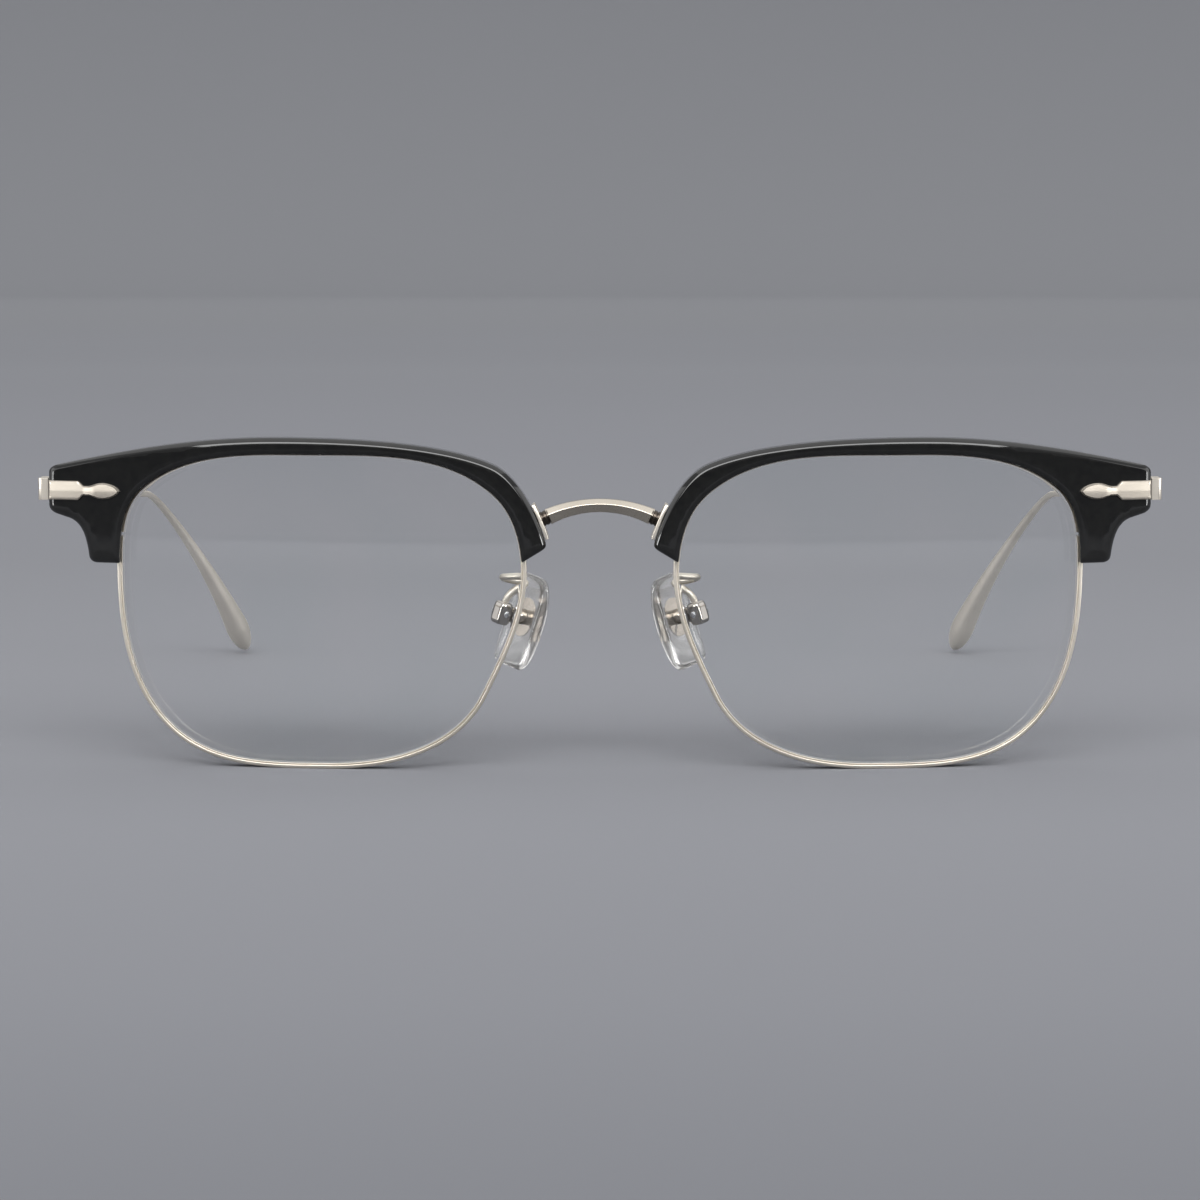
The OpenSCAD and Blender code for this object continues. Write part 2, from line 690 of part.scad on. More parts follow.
// Wire from the back of the eyewire's nose side, looped towards the lens and down to the box
module pad_arm(side) {
  foot = [in_x - wire_w / 2 + 0.06, 0, bottom_z + 0.61 * lens_h];
  a = [foot[0], depth_at(wire_back_r, foot[0], foot[2]), foot[2]];
  b = a + [2.6, 2.6, -0.3];
  c = a + [0.2, 5.2, -1.2];
  e = from_pad([0, box_mid, box_h / 2 + joint_gap]);
  path = concat(
    curve([a, a + [0, 1.3, 0], b + [-0.6, -1.1, 0.1], b], 8, 0, 0.93),
    curve([b, b + [0.7, 1.3, -0.1], c + [1.9, 0.3, 0.2], c], 8, 0, 0.93),
    curve([c, c + [-1.3, -0.2, -0.4], from_pad([0, box_mid, box_h / 2 + 2.2]), e], 10)
  );
  r = [for (p = path) arm_d / 2];
  color(champagne) of_side(side) tube(path, r, r, 8);
}

// The temple behind its root: a slim bar, a bend and a teardrop tip
module temple(side) {
  root = [temple_x, hinge_y + root_l + joint_gap, plate_z];
  start = root + [0, 0.4, 0];
  knee = [temple_x - knee_in, bend_y, bend_z];
  fall = tan(temple_slope);
  bar_n = 6;
  bend_n = 22;
  path = concat(
    [root], [for (i = [0:bar_n - 1]) start + (knee - start) * i / bar_n],
    curve([knee, knee + 14 * [0, 1, -fall], tip_end + [3.5, -13.3, 13.7], tip_end], bend_n)
  );
  neck = temple_neck_d / 2;
  grow = [for (i = [0:bend_n]) let (t = i / bend_n)
    t < 0.9 ? neck + (tip_w / 2 - neck) * pow(t / 0.9, 2.6) : tip_w / 2 * sqrt(1 - pow((t - 0.9) / 0.115, 2))];
  a = concat([temple_t / 2], [for (i = [0:bar_n - 1]) temple_t / 2 + (neck - temple_t / 2) * i / bar_n],
    [for (g = grow) neck + 0.85 * (g - neck)]);
  b = concat([temple_h / 2], [for (i = [0:bar_n - 1]) temple_h / 2 + (neck - temple_h / 2) * i / bar_n], grow);
  color(champagne) of_side(side) tube(path, a, b, 12, 0.8);
}

bridge();
bridge_neck(1);  // bridge_neck_left
bridge_neck(-1);  // bridge_neck_right
bridge_cheek(1);  // bridge_cheek_left
bridge_cheek(-1);  // bridge_cheek_right
eyewire(1);  // eyewire_left
eyewire(-1);  // eyewire_right
lens(1);  // lens_left
lens(-1);  // lens_right
brow(1);  // brow_left
brow(-1);  // brow_right
front_plate(1);  // front_plate_left
front_plate(-1);  // front_plate_right
end_piece(1);  // end_piece_left
end_piece(-1);  // end_piece_right
rim_lock(1);  // rim_lock_left
rim_lock(-1);  // rim_lock_right
rim_lock_screw(1);  // rim_lock_screw_left
rim_lock_screw(-1);  // rim_lock_screw_right
brow_screw(1);  // brow_screw_left
brow_screw(-1);  // brow_screw_right
hinge_screw(1);  // hinge_screw_left
hinge_screw(-1);  // hinge_screw_right
pad_arm(1);  // pad_arm_left
pad_arm(-1);  // pad_arm_right
pad_box(1);  // pad_box_left
pad_box(-1);  // pad_box_right
pad_screw(1);  // pad_screw_left
pad_screw(-1);  // pad_screw_right
pad_core(1);  // pad_core_left
pad_core(-1);  // pad_core_right
nose_pad(1);  // nose_pad_left
nose_pad(-1);  // nose_pad_right
temple_hinge(1);  // temple_hinge_left
temple_hinge(-1);  // temple_hinge_right
temple(1);  // temple_left
temple(-1);  // temple_right
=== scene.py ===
"""Looks of the open browline glasses: black acetate brow bars on a thin champagne
metal chassis, clear lenses, arrow plates, silicone nose pads and slim temples.

Sizes are in millimetres until a mesh is made. +X is the wearer's left, the front
looks towards -Y, the temples run towards +Y and Z is up from the table. Every
piece of a side is worked out for +X and mirrored for the other side.
"""

from __future__ import annotations

import logging
import math
from collections.abc import Callable
from dataclasses import dataclass, field
from enum import Enum

import bmesh
import bpy
import numpy as np
from mathutils.geometry import delaunay_2d_cdt
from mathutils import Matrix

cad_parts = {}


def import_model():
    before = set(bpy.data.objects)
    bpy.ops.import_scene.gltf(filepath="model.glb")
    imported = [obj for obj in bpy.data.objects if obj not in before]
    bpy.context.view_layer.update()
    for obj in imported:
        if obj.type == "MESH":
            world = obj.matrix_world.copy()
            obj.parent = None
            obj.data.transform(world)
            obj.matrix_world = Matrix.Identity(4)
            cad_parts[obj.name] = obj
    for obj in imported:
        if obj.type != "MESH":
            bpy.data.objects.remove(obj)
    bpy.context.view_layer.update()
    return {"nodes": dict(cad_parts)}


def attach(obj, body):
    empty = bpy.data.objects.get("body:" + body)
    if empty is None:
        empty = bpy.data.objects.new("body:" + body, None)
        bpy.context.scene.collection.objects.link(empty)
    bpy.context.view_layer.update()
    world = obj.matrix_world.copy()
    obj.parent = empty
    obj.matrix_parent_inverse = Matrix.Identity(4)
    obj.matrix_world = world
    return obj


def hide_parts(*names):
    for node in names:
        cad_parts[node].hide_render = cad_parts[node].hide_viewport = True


log = logging.getLogger("glasses")

MM = 0.001  # metres
SHIFT_Y = -68.7346  # from where the pieces are worked out to their place, in millimetres
MERGE = 1e-7  # metres between vertices that are one
SLIVER = 1e-8  # metres of an edge that is none
SOLID_MERGE = 2e-6  # metres between the loose corners of a CAD node that are one

Array = np.ndarray
Faces = list[tuple[int, ...]]


class Side(Enum):
    """Which half of the glasses a piece belongs to; the value is the sign of X."""

    LEFT = 1
    RIGHT = -1

    @property
    def tag(self) -> str:
        """The ending of the names on this side."""
        return self.name.lower()


def linear(code: str, alpha: float = 1.0) -> tuple[float, float, float, float]:
    """Turns an sRGB hex code into a linear colour.

    Args:
        code: six hex digits after a hash.
        alpha: fourth channel.

    Returns:
        Red, green, blue and alpha, each from 0 to 1.
    """
    parts = [int(code[i : i + 2], 16) / 255 for i in (1, 3, 5)]
    r, g, b = (c / 12.92 if c <= 0.04045 else ((c + 0.055) / 1.055) ** 2.4 for c in parts)
    return r, g, b, alpha


def add_node(
    tree: bpy.types.NodeTree, kind: str, settings: dict | None = None, links: dict | None = None
) -> bpy.types.Node:
    """Adds a node with its settings and the links into it.

    Args:
        tree: the tree that gets the node.
        kind: Blender's name of the node type.
        settings: node properties by name, and socket values by (socket,) tuples.
        links: socket name or index to the output socket that feeds it.

    Returns:
        The new node.
    """
    node = tree.nodes.new(kind)
    for key, value in (settings or {}).items():
        if isinstance(key, tuple):
            node.inputs[key[0]].default_value = value
        else:
            setattr(node, key, value)
    for key, output in (links or {}).items():
        tree.links.new(output, node.inputs[key])
    return node


def set_stops(ramp: bpy.types.ColorRamp, stops: list[tuple[float, str]] | tuple) -> None:
    """Gives a new colour ramp its stops.

    Args:
        ramp: a ramp that still has its first two stops.
        stops: position from 0 to 1 and hex colour of each stop, in order.
    """
    for element, (at, code) in ((ramp.elements[0], stops[0]), (ramp.elements[1], stops[-1])):
        element.position, element.color = at, linear(code)
    for at, code in stops[1:-1]:
        ramp.elements.new(at).color = linear(code)


def linked(name: str, data: bpy.types.ID) -> bpy.types.Object:
    """A new object with that data, linked to the scene.

    Args:
        name: the object's name.
        data: its mesh, lamp or camera.

    Returns:
        The object, at the origin.
    """
    thing = bpy.data.objects.new(name, data)
    bpy.context.scene.collection.objects.link(thing)
    return thing


def add_mesh(
    name: str, points: Array, faces: Faces, side: Side | None, sharp: float = 32.0
) -> bpy.types.Object:
    """Makes a smooth shaded object from points in millimetres.

    The right side is the left one with X negated. Doubles are merged and all
    faces are turned outwards afterwards, which also mends a mirrored winding.

    Args:
        name: the object's name.
        points: (n, 3) positions in millimetres, before the shift along Y.
        faces: vertex indices of each face.
        side: side that the piece is placed on, or None for a piece in the middle.
        sharp: angle in degrees above which an edge is shaded sharp.

    Returns:
        The new object, at the origin, with its place in its mesh.
    """
    place = points.copy()
    if side is Side.RIGHT:
        place[:, 0] *= -1
    place[:, 1] += SHIFT_Y
    mesh = bpy.data.meshes.new(name)
    mesh.from_pydata(place * MM, [], faces)
    shell = bmesh.new()
    shell.from_mesh(mesh)
    bmesh.ops.remove_doubles(shell, verts=shell.verts, dist=MERGE)
    bmesh.ops.dissolve_degenerate(shell, dist=SLIVER, edges=shell.edges)
    bmesh.ops.recalc_face_normals(shell, faces=shell.faces)
    shell.to_mesh(mesh)
    shell.free()
    mesh.shade_smooth()
    mesh.set_sharp_from_angle(angle=math.radians(sharp))
    return linked(name, mesh)


def grid_faces(rows: int, columns: int) -> Faces:
    """Faces of a grid whose point (i, j) has index i * columns + j, and whose rows
    are rings: the last point of a row joins its first.

    Args:
        rows: number of rows.
        columns: number of points in a row.

    Returns:
        Four indices for each face.
    """
    i, j = np.arange(rows - 1)[:, None], np.arange(columns)[None, :]
    up, across = i + 1, (j + 1) % columns
    quads = np.stack(
        [i * columns + j, up * columns + j, up * columns + across, i * columns + across], axis=-1
    )
    return [tuple(q) for q in quads.reshape(-1, 4).tolist()]


def end_faces(rows: int, columns: int) -> Faces:
    """The two flat faces over the first and the last row of a grid."""
    return [tuple(range(columns)), tuple(range((rows - 1) * columns, rows * columns))]


def end_fans(rows: int, columns: int) -> Faces:
    """Triangles from the first and the last row of a grid to a hub each, the two
    hubs being the points after the grid's.

    Args:
        rows: number of rows.
        columns: number of points in a row.

    Returns:
        Three indices for each triangle.
    """
    faces = []
    for hub, ring in ((rows * columns, 0), (rows * columns + 1, (rows - 1) * columns)):
        faces += [(hub, ring + k, ring + (k + 1) % columns) for k in range(columns)]
    return faces


def powered(values: Array, power: float) -> Array:
    """Values raised to a power with their signs kept; on a sine and a cosine it
    draws an ellipse towards a box, when the power is less than one."""
    return np.sign(values) * np.abs(values) ** power


def cubic(points: Array, t: Array) -> Array:
    """Points of a cubic Bezier curve: the four points weighted by (1-t)^3,
    3t(1-t)^2, 3t^2(1-t) and t^3.

    Args:
        points: (4, d) control points.
        t: (n,) parameters from 0 to 1.

    Returns:
        (n, d) points.
    """
    t = t[:, None]
    weights = np.concatenate([(1 - t) ** 3, 3 * t * (1 - t) ** 2, 3 * t**2 * (1 - t), t**3], axis=1)
    return weights @ np.asarray(points, float)


def cubic_slope(points: Array, t: Array) -> Array:
    """Direction of a cubic Bezier curve: its three differences weighted by
    (1-t)^2, 2t(1-t) and t^2.

    Args:
        points: (4, d) control points.
        t: (n,) parameters from 0 to 1.

    Returns:
        (n, d) directions, not of unit length.
    """
    t = t[:, None]
    weights = np.concatenate([(1 - t) ** 2, 2 * t * (1 - t), t**2], axis=1)
    return weights @ np.diff(np.asarray(points, float), axis=0)


def even(line: Array, count: int, closed: bool = False) -> Array:
    """Points at even distances along a line of points.

    Args:
        line: (n, d) points.
        count: number of points wanted.
        closed: whether the line returns to its first point.

    Returns:
        (count, d) points; the first is line's first.
    """
    path = np.concatenate([line, line[:1]]) if closed else line
    run = np.concatenate([[0], np.cumsum(np.linalg.norm(np.diff(path, axis=0), axis=1))])
    at = np.linspace(0, run[-1], count + 1)[:-1] if closed else np.linspace(0, run[-1], count)
    return np.stack([np.interp(at, run, path[:, k]) for k in range(path.shape[1])], axis=1)


def outward_normals(outline: Array) -> Array:
    """Unit normals of a closed anticlockwise outline: the mean direction of the
    two edges at each point, turned clockwise by a right angle.

    Args:
        outline: (n, 2) points.

    Returns:
        (n, 2) directions.
    """
    ahead = np.roll(outline, -1, axis=0) - outline
    ahead /= np.linalg.norm(ahead, axis=1, keepdims=True)
    tangent = ahead + np.roll(ahead, 1, axis=0)
    tangent /= np.linalg.norm(tangent, axis=1, keepdims=True)
    return np.stack([tangent[:, 1], -tangent[:, 0]], axis=1)


def inset_ring(outline: Array, inset: float) -> Array:
    """The outline moved inwards. A point that comes nearer to the outline than the
    inset, as happens in a tight corner, takes the place of its nearest good neighbour.

    Args:
        outline: (n, 2) closed anticlockwise outline.
        inset: distance inwards.

    Returns:
        (n, 2) points.
    """
    ring = outline - inset * outward_normals(outline)
    if inset <= 0:
        return ring
    gaps = np.linalg.norm(ring[:, None] - outline[None], axis=2).min(1)
    nearly = 0.97
    good = np.flatnonzero(gaps > nearly * inset)
    count = len(outline)
    spread = np.concatenate([good - count, good, good + count])
    here = np.arange(count)
    after = np.searchsorted(spread, here).clip(1, len(spread) - 1)
    nearer = np.where(here - spread[after - 1] < spread[after] - here, after - 1, after)
    return ring[spread[nearer] % count]


def inside(points: Array, outline: Array) -> Array:
    """Whether points lie in a closed outline, by counting the edges that a level
    line from each point crosses.

    Args:
        points: (n, 2) points.
        outline: (m, 2) closed outline.

    Returns:
        (n,) truth values.
    """
    x, z = points[:, 0, None], points[:, 1, None]
    x0, z0 = outline[:, 0], outline[:, 1]
    x1, z1 = np.roll(x0, -1), np.roll(z0, -1)
    spans = (z0 > z) != (z1 > z)
    rise = np.where(z1 == z0, 1.0, z1 - z0)
    return np.count_nonzero(spans & (x < x0 + (z - z0) * (x1 - x0) / rise), axis=1) % 2 == 1


def filled(outline: Array, spacing: float) -> tuple[Array, Faces]:
    """Triangles over a closed outline, with points in its middle on a level grid.

    Args:
        outline: (n, 2) points.
        spacing: distance between the points in the middle.

    Returns:
        The added middle points, and triangles that index the outline and then them.
    """
    low, high = outline.min(0), outline.max(0)
    xs = np.arange(low[0] + spacing / 2, high[0], spacing)
    zs = np.arange(low[1] + spacing / 2, high[1], spacing)
    middle = np.stack(np.meshgrid(xs, zs, indexing="ij"), axis=-1).reshape(-1, 2)
    middle = middle[inside(middle, outline)]
    gaps = np.linalg.norm(middle[:, None] - outline[None], axis=2).min(1)
    clear = 0.55
    middle = middle[gaps > clear * spacing]
    count = len(outline)
    kept = np.flatnonzero(np.linalg.norm(outline - np.roll(outline, 1, axis=0), axis=1) > 1e-6)
    points = np.concatenate([outline[kept], middle])
    index = np.concatenate([kept, count + np.arange(len(middle))])
    corners, _, faces, origin, _, _ = delaunay_2d_cdt(
        [tuple(p) for p in points.tolist()], [], [tuple(range(len(kept)))], 1, 1e-7
    )
    first = [
        int(index[ids[0] if ids else np.linalg.norm(points - np.array(corner), axis=1).argmin()])
        for corner, ids in zip(corners, origin)
    ]
    triangles = [tuple(first[k] for k in face) for face in faces]
    return middle, [triangle for triangle in triangles if len(set(triangle)) == 3]


@dataclass(frozen=True)
class Ball:
    """The ball that one side of the front is laid on.

    A layer of radius r lies at depth y = cy - sqrt(r^2 - (x - cx)^2 - (z - cz)^2).
    """

    centre: tuple[float, float, float] = (21.2749, 139.148, 25.4859)

    def depth(self, radius: Array | float, x: Array | float, z: Array | float) -> Array | float:
        """Depth of the layer of that radius over a point of the front view."""
        cx, cy, cz = self.centre
        return cy - np.sqrt(np.square(radius) - np.square(x - cx) - np.square(z - cz))

    def lay(self, flat: Array, radius: Array | float) -> Array:
        """Puts (n, 2) points of the front view on the layer of that radius."""
        x, z = flat[:, 0], flat[:, 1]
        return np.stack([x, self.depth(radius, x, z), z], axis=1)


BALL = Ball()


def slab(
    outline: Array,
    rings: list[tuple[float, float]],
    lay: Callable[[Array, float], Array],
    spacing: float,
    lift: Callable[[Array], Array] | None = None,
) -> tuple[Array, Faces]:
    """A plate of any outline: rings run round its edge from the front face to the
    back one, each moved inwards by its inset and laid at its own level, and the
    two faces are filled.

    Args:
        outline: (n, 2) closed anticlockwise outline.
        rings: (inset, level) of each ring, from the front to the back.
        lay: puts (m, 2) points at a level.
        spacing: distance between the points in the faces.
        lift: distance by which points of the front view move towards -Y.

    Returns:
        Points and faces.
    """
    flats = [inset_ring(outline, inset) for inset, _ in rings]
    points = [lay(flat, level) for flat, (_, level) in zip(flats, rings)]
    if lift is not None:
        points[0][:, 1] -= lift(flats[0])
    count = len(outline)
    faces = grid_faces(len(rings), count)
    start = len(rings) * count
    for ring in (0, len(rings) - 1):
        middle, triangles = filled(flats[ring], spacing)
        laid = lay(middle, rings[ring][1])
        if lift is not None and ring == 0:
            laid[:, 1] -= lift(middle)
        base = ring * count
        faces += [tuple(base + k if k < count else start + k - count for k in t) for t in triangles]
        points.append(laid)
        start += len(middle)
    return np.concatenate(points), faces


def rounded(corners: Array, radius: float, steps: int = 3) -> Array:
    """A closed polygon whose corners are cut back by radius, or by 0.45 of their
    shorter edge, and bridged by a quadratic curve (1-t)^2 p + 2t(1-t) corner + t^2 q.

    Args:
        corners: (n, 2) corners.
        radius: distance cut from each corner.
        steps: points on each side of a corner's middle.

    Returns:
        (n * (2 * steps + 1), 2) points.
    """
    before = np.roll(corners, 1, axis=0) - corners
    after = np.roll(corners, -1, axis=0) - corners
    most = 0.45 * np.minimum(np.linalg.norm(before, axis=1), np.linalg.norm(after, axis=1))
    cut = np.minimum(radius, most)[:, None]
    p = corners + cut * before / np.linalg.norm(before, axis=1, keepdims=True)
    q = corners + cut * after / np.linalg.norm(after, axis=1, keepdims=True)
    t = np.linspace(0, 1, 2 * steps + 1)[None, :, None]
    bend = (1 - t) ** 2 * p[:, None] + 2 * t * (1 - t) * corners[:, None] + t**2 * q[:, None]
    return bend.reshape(-1, 2)


def sweep(path: Array, sections: Array, level: Array) -> tuple[Array, Faces]:
    """Carries a section along a path. At each point of the path the section's two
    coordinates run along level x tangent and along the third direction square to both.

    Args:
        path: (n, 3) points.
        sections: (n, m, 2) section at each point, or (m, 2) for all.
        level: (3,) or (n, 3) direction that the section's second coordinate leans to.

    Returns:
        Points and faces, with both ends closed by a fan.
    """
    tangent = np.roll(path, -1, axis=0) - np.roll(path, 1, axis=0)
    tangent[0], tangent[-1] = path[1] - path[0], path[-1] - path[-2]
    tangent /= np.linalg.norm(tangent, axis=1, keepdims=True)
    across = np.cross(tangent, np.broadcast_to(level, path.shape))
    across /= np.linalg.norm(across, axis=1, keepdims=True)
    upward = np.cross(across, tangent)
    shape = np.broadcast_to(sections, (len(path), *np.shape(sections)[-2:]))
    points = path[:, None] + shape[..., :1] * across[:, None] + shape[..., 1:] * upward[:, None]
    rows, columns = points.shape[:2]
    faces = grid_faces(rows, columns) + end_fans(rows, columns)
    return np.concatenate([points.reshape(-1, 3), path[[0, -1]]]), faces


def turned(profile: Array, start: Array, axis: Array, steps: int = 40) -> tuple[Array, Faces]:
    """Turns a profile of (radius, distance along the axis) once round the axis.

    Args:
        profile: (m, 2) radius and distance, from one end to the other.
        start: (3,) the axis' point at distance 0.
        axis: (3,) direction of the axis.
        steps: points round the axis.

    Returns:
        Points and faces.
    """
    w = axis / np.linalg.norm(axis)
    u = np.cross(w, [0.0, 1.0, 0.0] if abs(w[1]) < 0.9 else [1.0, 0.0, 0.0])
    u /= np.linalg.norm(u)
    v = np.cross(w, u)
    angle = np.linspace(0, 2 * np.pi, steps, endpoint=False)
    round_it = np.cos(angle)[:, None] * u + np.sin(angle)[:, None] * v
    points = start + profile[:, 1, None, None] * w + profile[:, 0, None, None] * round_it[None]
    return points.reshape(-1, 3), grid_faces(len(profile), steps)


def softened(frame: dict, node: str, body: str, finish: Finish, width: float) -> bpy.types.Object:
    """A copy of a CAD node with its edges eased, as barrel polishing leaves them.

    Args:
        node: the CAD node.
        body: the body that it rides on.
        finish: its finish.
        width: width of the eased edge in millimetres.

    Returns:
        The copy, which replaces the node.
    """
    piece = linked(f"{node}_eased", frame["nodes"][node].data.copy())
    shell = bmesh.new()
    shell.from_mesh(piece.data)
    bmesh.ops.remove_doubles(shell, verts=shell.verts, dist=SOLID_MERGE)
    bmesh.ops.dissolve_limit(
        shell, angle_limit=math.radians(0.6), verts=shell.verts, edges=shell.edges
    )
    bmesh.ops.recalc_face_normals(shell, faces=shell.faces)
    shell.to_mesh(piece.data)
    shell.free()
    piece.data.shade_smooth()
    ease = piece.modifiers.new("eased edges", "BEVEL")
    ease.width = width * MM
    ease.segments = 2
    ease.limit_method = "ANGLE"
    ease.angle_limit = math.radians(35)
    level = piece.modifiers.new("level faces", "WEIGHTED_NORMAL")
    level.weight, level.keep_sharp = 80, False
    place(piece, body, finish, [node])
    return piece


def place(
    piece: bpy.types.Object, body: str, finish: Finish, nodes: list[str] | None = None
) -> bpy.types.Object:
    """Dresses a piece, puts it on its body and lets it stand for CAD nodes.

    Args:
        piece: the finished piece.
        body: body that carries it.
        finish: its finish, which also names its slot.
        nodes: CAD nodes that it replaces.

    Returns:
        The piece.
    """
    piece.data.materials.clear()
    piece.data.materials.append(finish.material())
    if nodes:
        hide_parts(*nodes)
    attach(piece, body)
    log.info("%s on %s, %s", piece.name, body, finish.slot)
    return piece


def make_piece(
    stem: str,
    how: str,
    shape: tuple[Array, Faces],
    side: Side,
    sharp: float,
    finish: Finish,
    carrier: str = "front",
) -> bpy.types.Object:
    """Makes, dresses and places the piece of one side that stands for a CAD node.

    Args:
        stem: the node's name without its side.
        how: how the piece was made, the ending of its name.
        shape: points in millimetres and faces.
        side: the side that it is placed on.
        sharp: angle in degrees above which an edge is shaded sharp.
        finish: its finish.
        carrier: front, or the name without its side of the body that carries it.

    Returns:
        The piece.
    """
    node = f"{stem}_{side.tag}"
    piece = add_mesh(f"{node}_{how}", *shape, side, sharp)
    body = carrier if carrier == "front" else f"{carrier}_{side.tag}"
    return place(piece, body, finish, [node])


# Finishes


class Finish:
    """A finish makes its material once and hands it out after that."""

    slot: str
    name: str

    def material(self) -> bpy.types.Material:
        """The material of this finish, made on first use.

        Returns:
            The material.
        """
        found = bpy.data.materials.get(self.name)
        if found is None:
            found = bpy.data.materials.new(self.name)
            found.use_nodes = True
            found.node_tree.nodes.clear()
            surface = self.shade(found.node_tree).outputs[0]
            add_node(found.node_tree, "ShaderNodeOutputMaterial", links={"Surface": surface})
        return found

    def shade(self, tree: bpy.types.NodeTree) -> bpy.types.Node:
        """Adds the nodes and returns the shader."""
        raise NotImplementedError


@dataclass(frozen=True)
class Pattern:
    """Noise with features of a length in millimetres along each axis of the object,
    and a number of finer octaves."""

    spacing: tuple[float, float, float]
    detail: float

    def value(self, tree: bpy.types.NodeTree) -> bpy.types.NodeSocket:
        """Adds the noise, whose scale on metres is one over the feature length.

        Args:
            tree: the tree that gets the nodes.

        Returns:
            The noise's value, from 0 to 1.
        """
        where = add_node(tree, "ShaderNodeTexCoord").outputs["Object"]
        scale = tuple(1 / (length * MM) for length in self.spacing)
        mapped = add_node(tree, "ShaderNodeMapping", {("Scale",): scale}, {"Vector": where})
        settings = {("Scale",): 1.0, ("Detail",): self.detail}
        made = add_node(tree, "ShaderNodeTexNoise", settings, {"Vector": mapped.outputs[0]})
        return made.outputs[0]


@dataclass(frozen=True)
class Surface(Finish):
    """A finish whose colour drifts from dark to light over the tint pattern, whose
    roughness runs from smooth to rough over the gloss pattern, and whose face is
    ruffled by the relief pattern to a depth in millimetres. Fixed holds the
    shader's other values."""

    name: str
    slot: str
    dark: str
    light: str
    smooth: float
    rough: float
    tint: Pattern
    gloss: Pattern
    relief: Pattern | None
    depth: float
    strength: float
    fixed: tuple[tuple[str, float], ...]

    def shade(self, tree: bpy.types.NodeTree) -> bpy.types.Node:
        """Adds the patterns and the shader that they feed.

        Args:
            tree: the tree that gets the nodes.

        Returns:
            The shader.
        """
        patterns = dict.fromkeys(p for p in (self.tint, self.gloss, self.relief) if p)
        values = {pattern: pattern.value(tree) for pattern in patterns}
        colour = add_node(tree, "ShaderNodeValToRGB", links={"Fac": values[self.tint]})
        set_stops(colour.color_ramp, ((0.32, self.dark), (0.68, self.light)))
        spread = {("From Min",): 0.3, ("From Max",): 0.7}
        spread |= {("To Min",): self.smooth, ("To Max",): self.rough}
        gloss = add_node(tree, "ShaderNodeMapRange", spread, {"Value": values[self.gloss]})
        links = {"Base Color": colour.outputs[0], "Roughness": gloss.outputs[0]}
        if self.relief:
            ruffle = {("Strength",): self.strength, ("Distance",): self.depth * MM}
            bump = add_node(tree, "ShaderNodeBump", ruffle, {"Height": values[self.relief]})
            links["Normal"] = bump.outputs[0]
        fixed = {(socket,): value for socket, value in self.fixed}
        return add_node(tree, "ShaderNodeBsdfPrincipled", fixed, links)


def metal(
    name: str,
    slot: str,
    light: str,
    dark: str,
    smooth: float,
    rough: float,
    grain: tuple[float, float, float] = (0.12, 0.12, 0.12),
    strength: float = 0.25,
) -> Surface:
    """A metal whose colour drifts slowly and whose grain ruffles its gloss and face.

    Args:
        name: the material's name.
        slot: its slot.
        light: hex colour of its lighter parts.
        dark: hex colour of its darker parts.
        smooth: roughness of its smoother parts.
        rough: roughness of its rougher parts.
        grain: length of the grain along each axis in millimetres.
        strength: how much of the grain's relief shows.

    Returns:
        The finish.
    """
    drift, fine = Pattern((6.0, 6.0, 6.0), 1.0), Pattern(grain, 2.0)
    fixed = (("Metallic", 1.0),)
    return Surface(
        name, slot, dark, light, smooth, rough, drift, fine, fine, 0.004, strength, fixed
    )


@dataclass(frozen=True)
class StudioPaper(Finish):
    """Seamless grey studio paper, matt, its colour painted darker in front than far behind: painted
    shade and light that even out the pool of lamplight on it.
    """

    name: str = "grey studio paper"
    slot: str = ""
    near: float = 0.6
    # painted shade and light: darker near the object, where the lamps light the paper most, lighter
    # far off, where they light it least
    painted_shade_tones: tuple[tuple[float, str], ...] = (
        (-0.28, "#55565a"), (-0.21, "#5e5f63"), (-0.13, "#646569"), (0.0, "#6a6b6f"),
        (0.25, "#6c6d71"), (0.69, "#7a7b80"), (1.1, "#898a8f"), (1.53, "#97989d"),
        (2.2, "#a1a2a7"), (3.0, "#a8a9ad"), (4.5, "#b2b3b7"), (5.5, "#b2b3b7"),
    )

    def shade(self, tree: bpy.types.NodeTree) -> bpy.types.Node:
        """Matt grey whose tone, a painted shade and light, follows the distance in metres behind
        the object, or the distance from it less near, whichever is larger.

        Args:
            tree: the tree that gets the nodes.

        Returns:
            The shader.
        """
        where = add_node(tree, "ShaderNodeTexCoord").outputs["Object"]
        behind = add_node(tree, "ShaderNodeSeparateXYZ", links={"Vector": where}).outputs["Y"]
        length = add_node(tree, "ShaderNodeVectorMath", {"operation": "LENGTH"}, {"Vector": where})
        round_it = add_node(
            tree,
            "ShaderNodeMath",
            {"operation": "SUBTRACT", (1,): self.near},
            {0: length.outputs["Value"]},
        )
        larger = add_node(
            tree, "ShaderNodeMath", {"operation": "MAXIMUM"}, {0: round_it.outputs[0], 1: behind}
        )
        low, high = self.painted_shade_tones[0][0], self.painted_shade_tones[-1][0]
        share = add_node(
            tree,
            "ShaderNodeMapRange",
            {("From Min",): low, ("From Max",): high},
            {"Value": larger.outputs[0]},
        )
        colour = add_node(tree, "ShaderNodeValToRGB", links={"Fac": share.outputs[0]})
        stops = [((back - low) / (high - low), code) for back, code in self.painted_shade_tones]
        set_stops(colour.color_ramp, stops)
        matt = {("Specular IOR Level",): 0.15, ("Roughness",): 0.9}
        return add_node(tree, "ShaderNodeBsdfPrincipled", matt, {"Base Color": colour.outputs[0]})


TITANIUM = "champagne_titanium"
# Pale titanium wire with a satin polish: a soft broad highlight, warm and nearly white
RIM_METAL = metal(
    "satin champagne titanium", TITANIUM, "#d2cbc0", "#c8c1b5", 0.36, 0.44, strength=0.1
)
# The same metal polished further: a crisper highlight between darker edges
ARCH_METAL = metal(
    "arch champagne titanium", TITANIUM, "#b2aba0", "#a69f94", 0.26, 0.36, strength=0.1
)
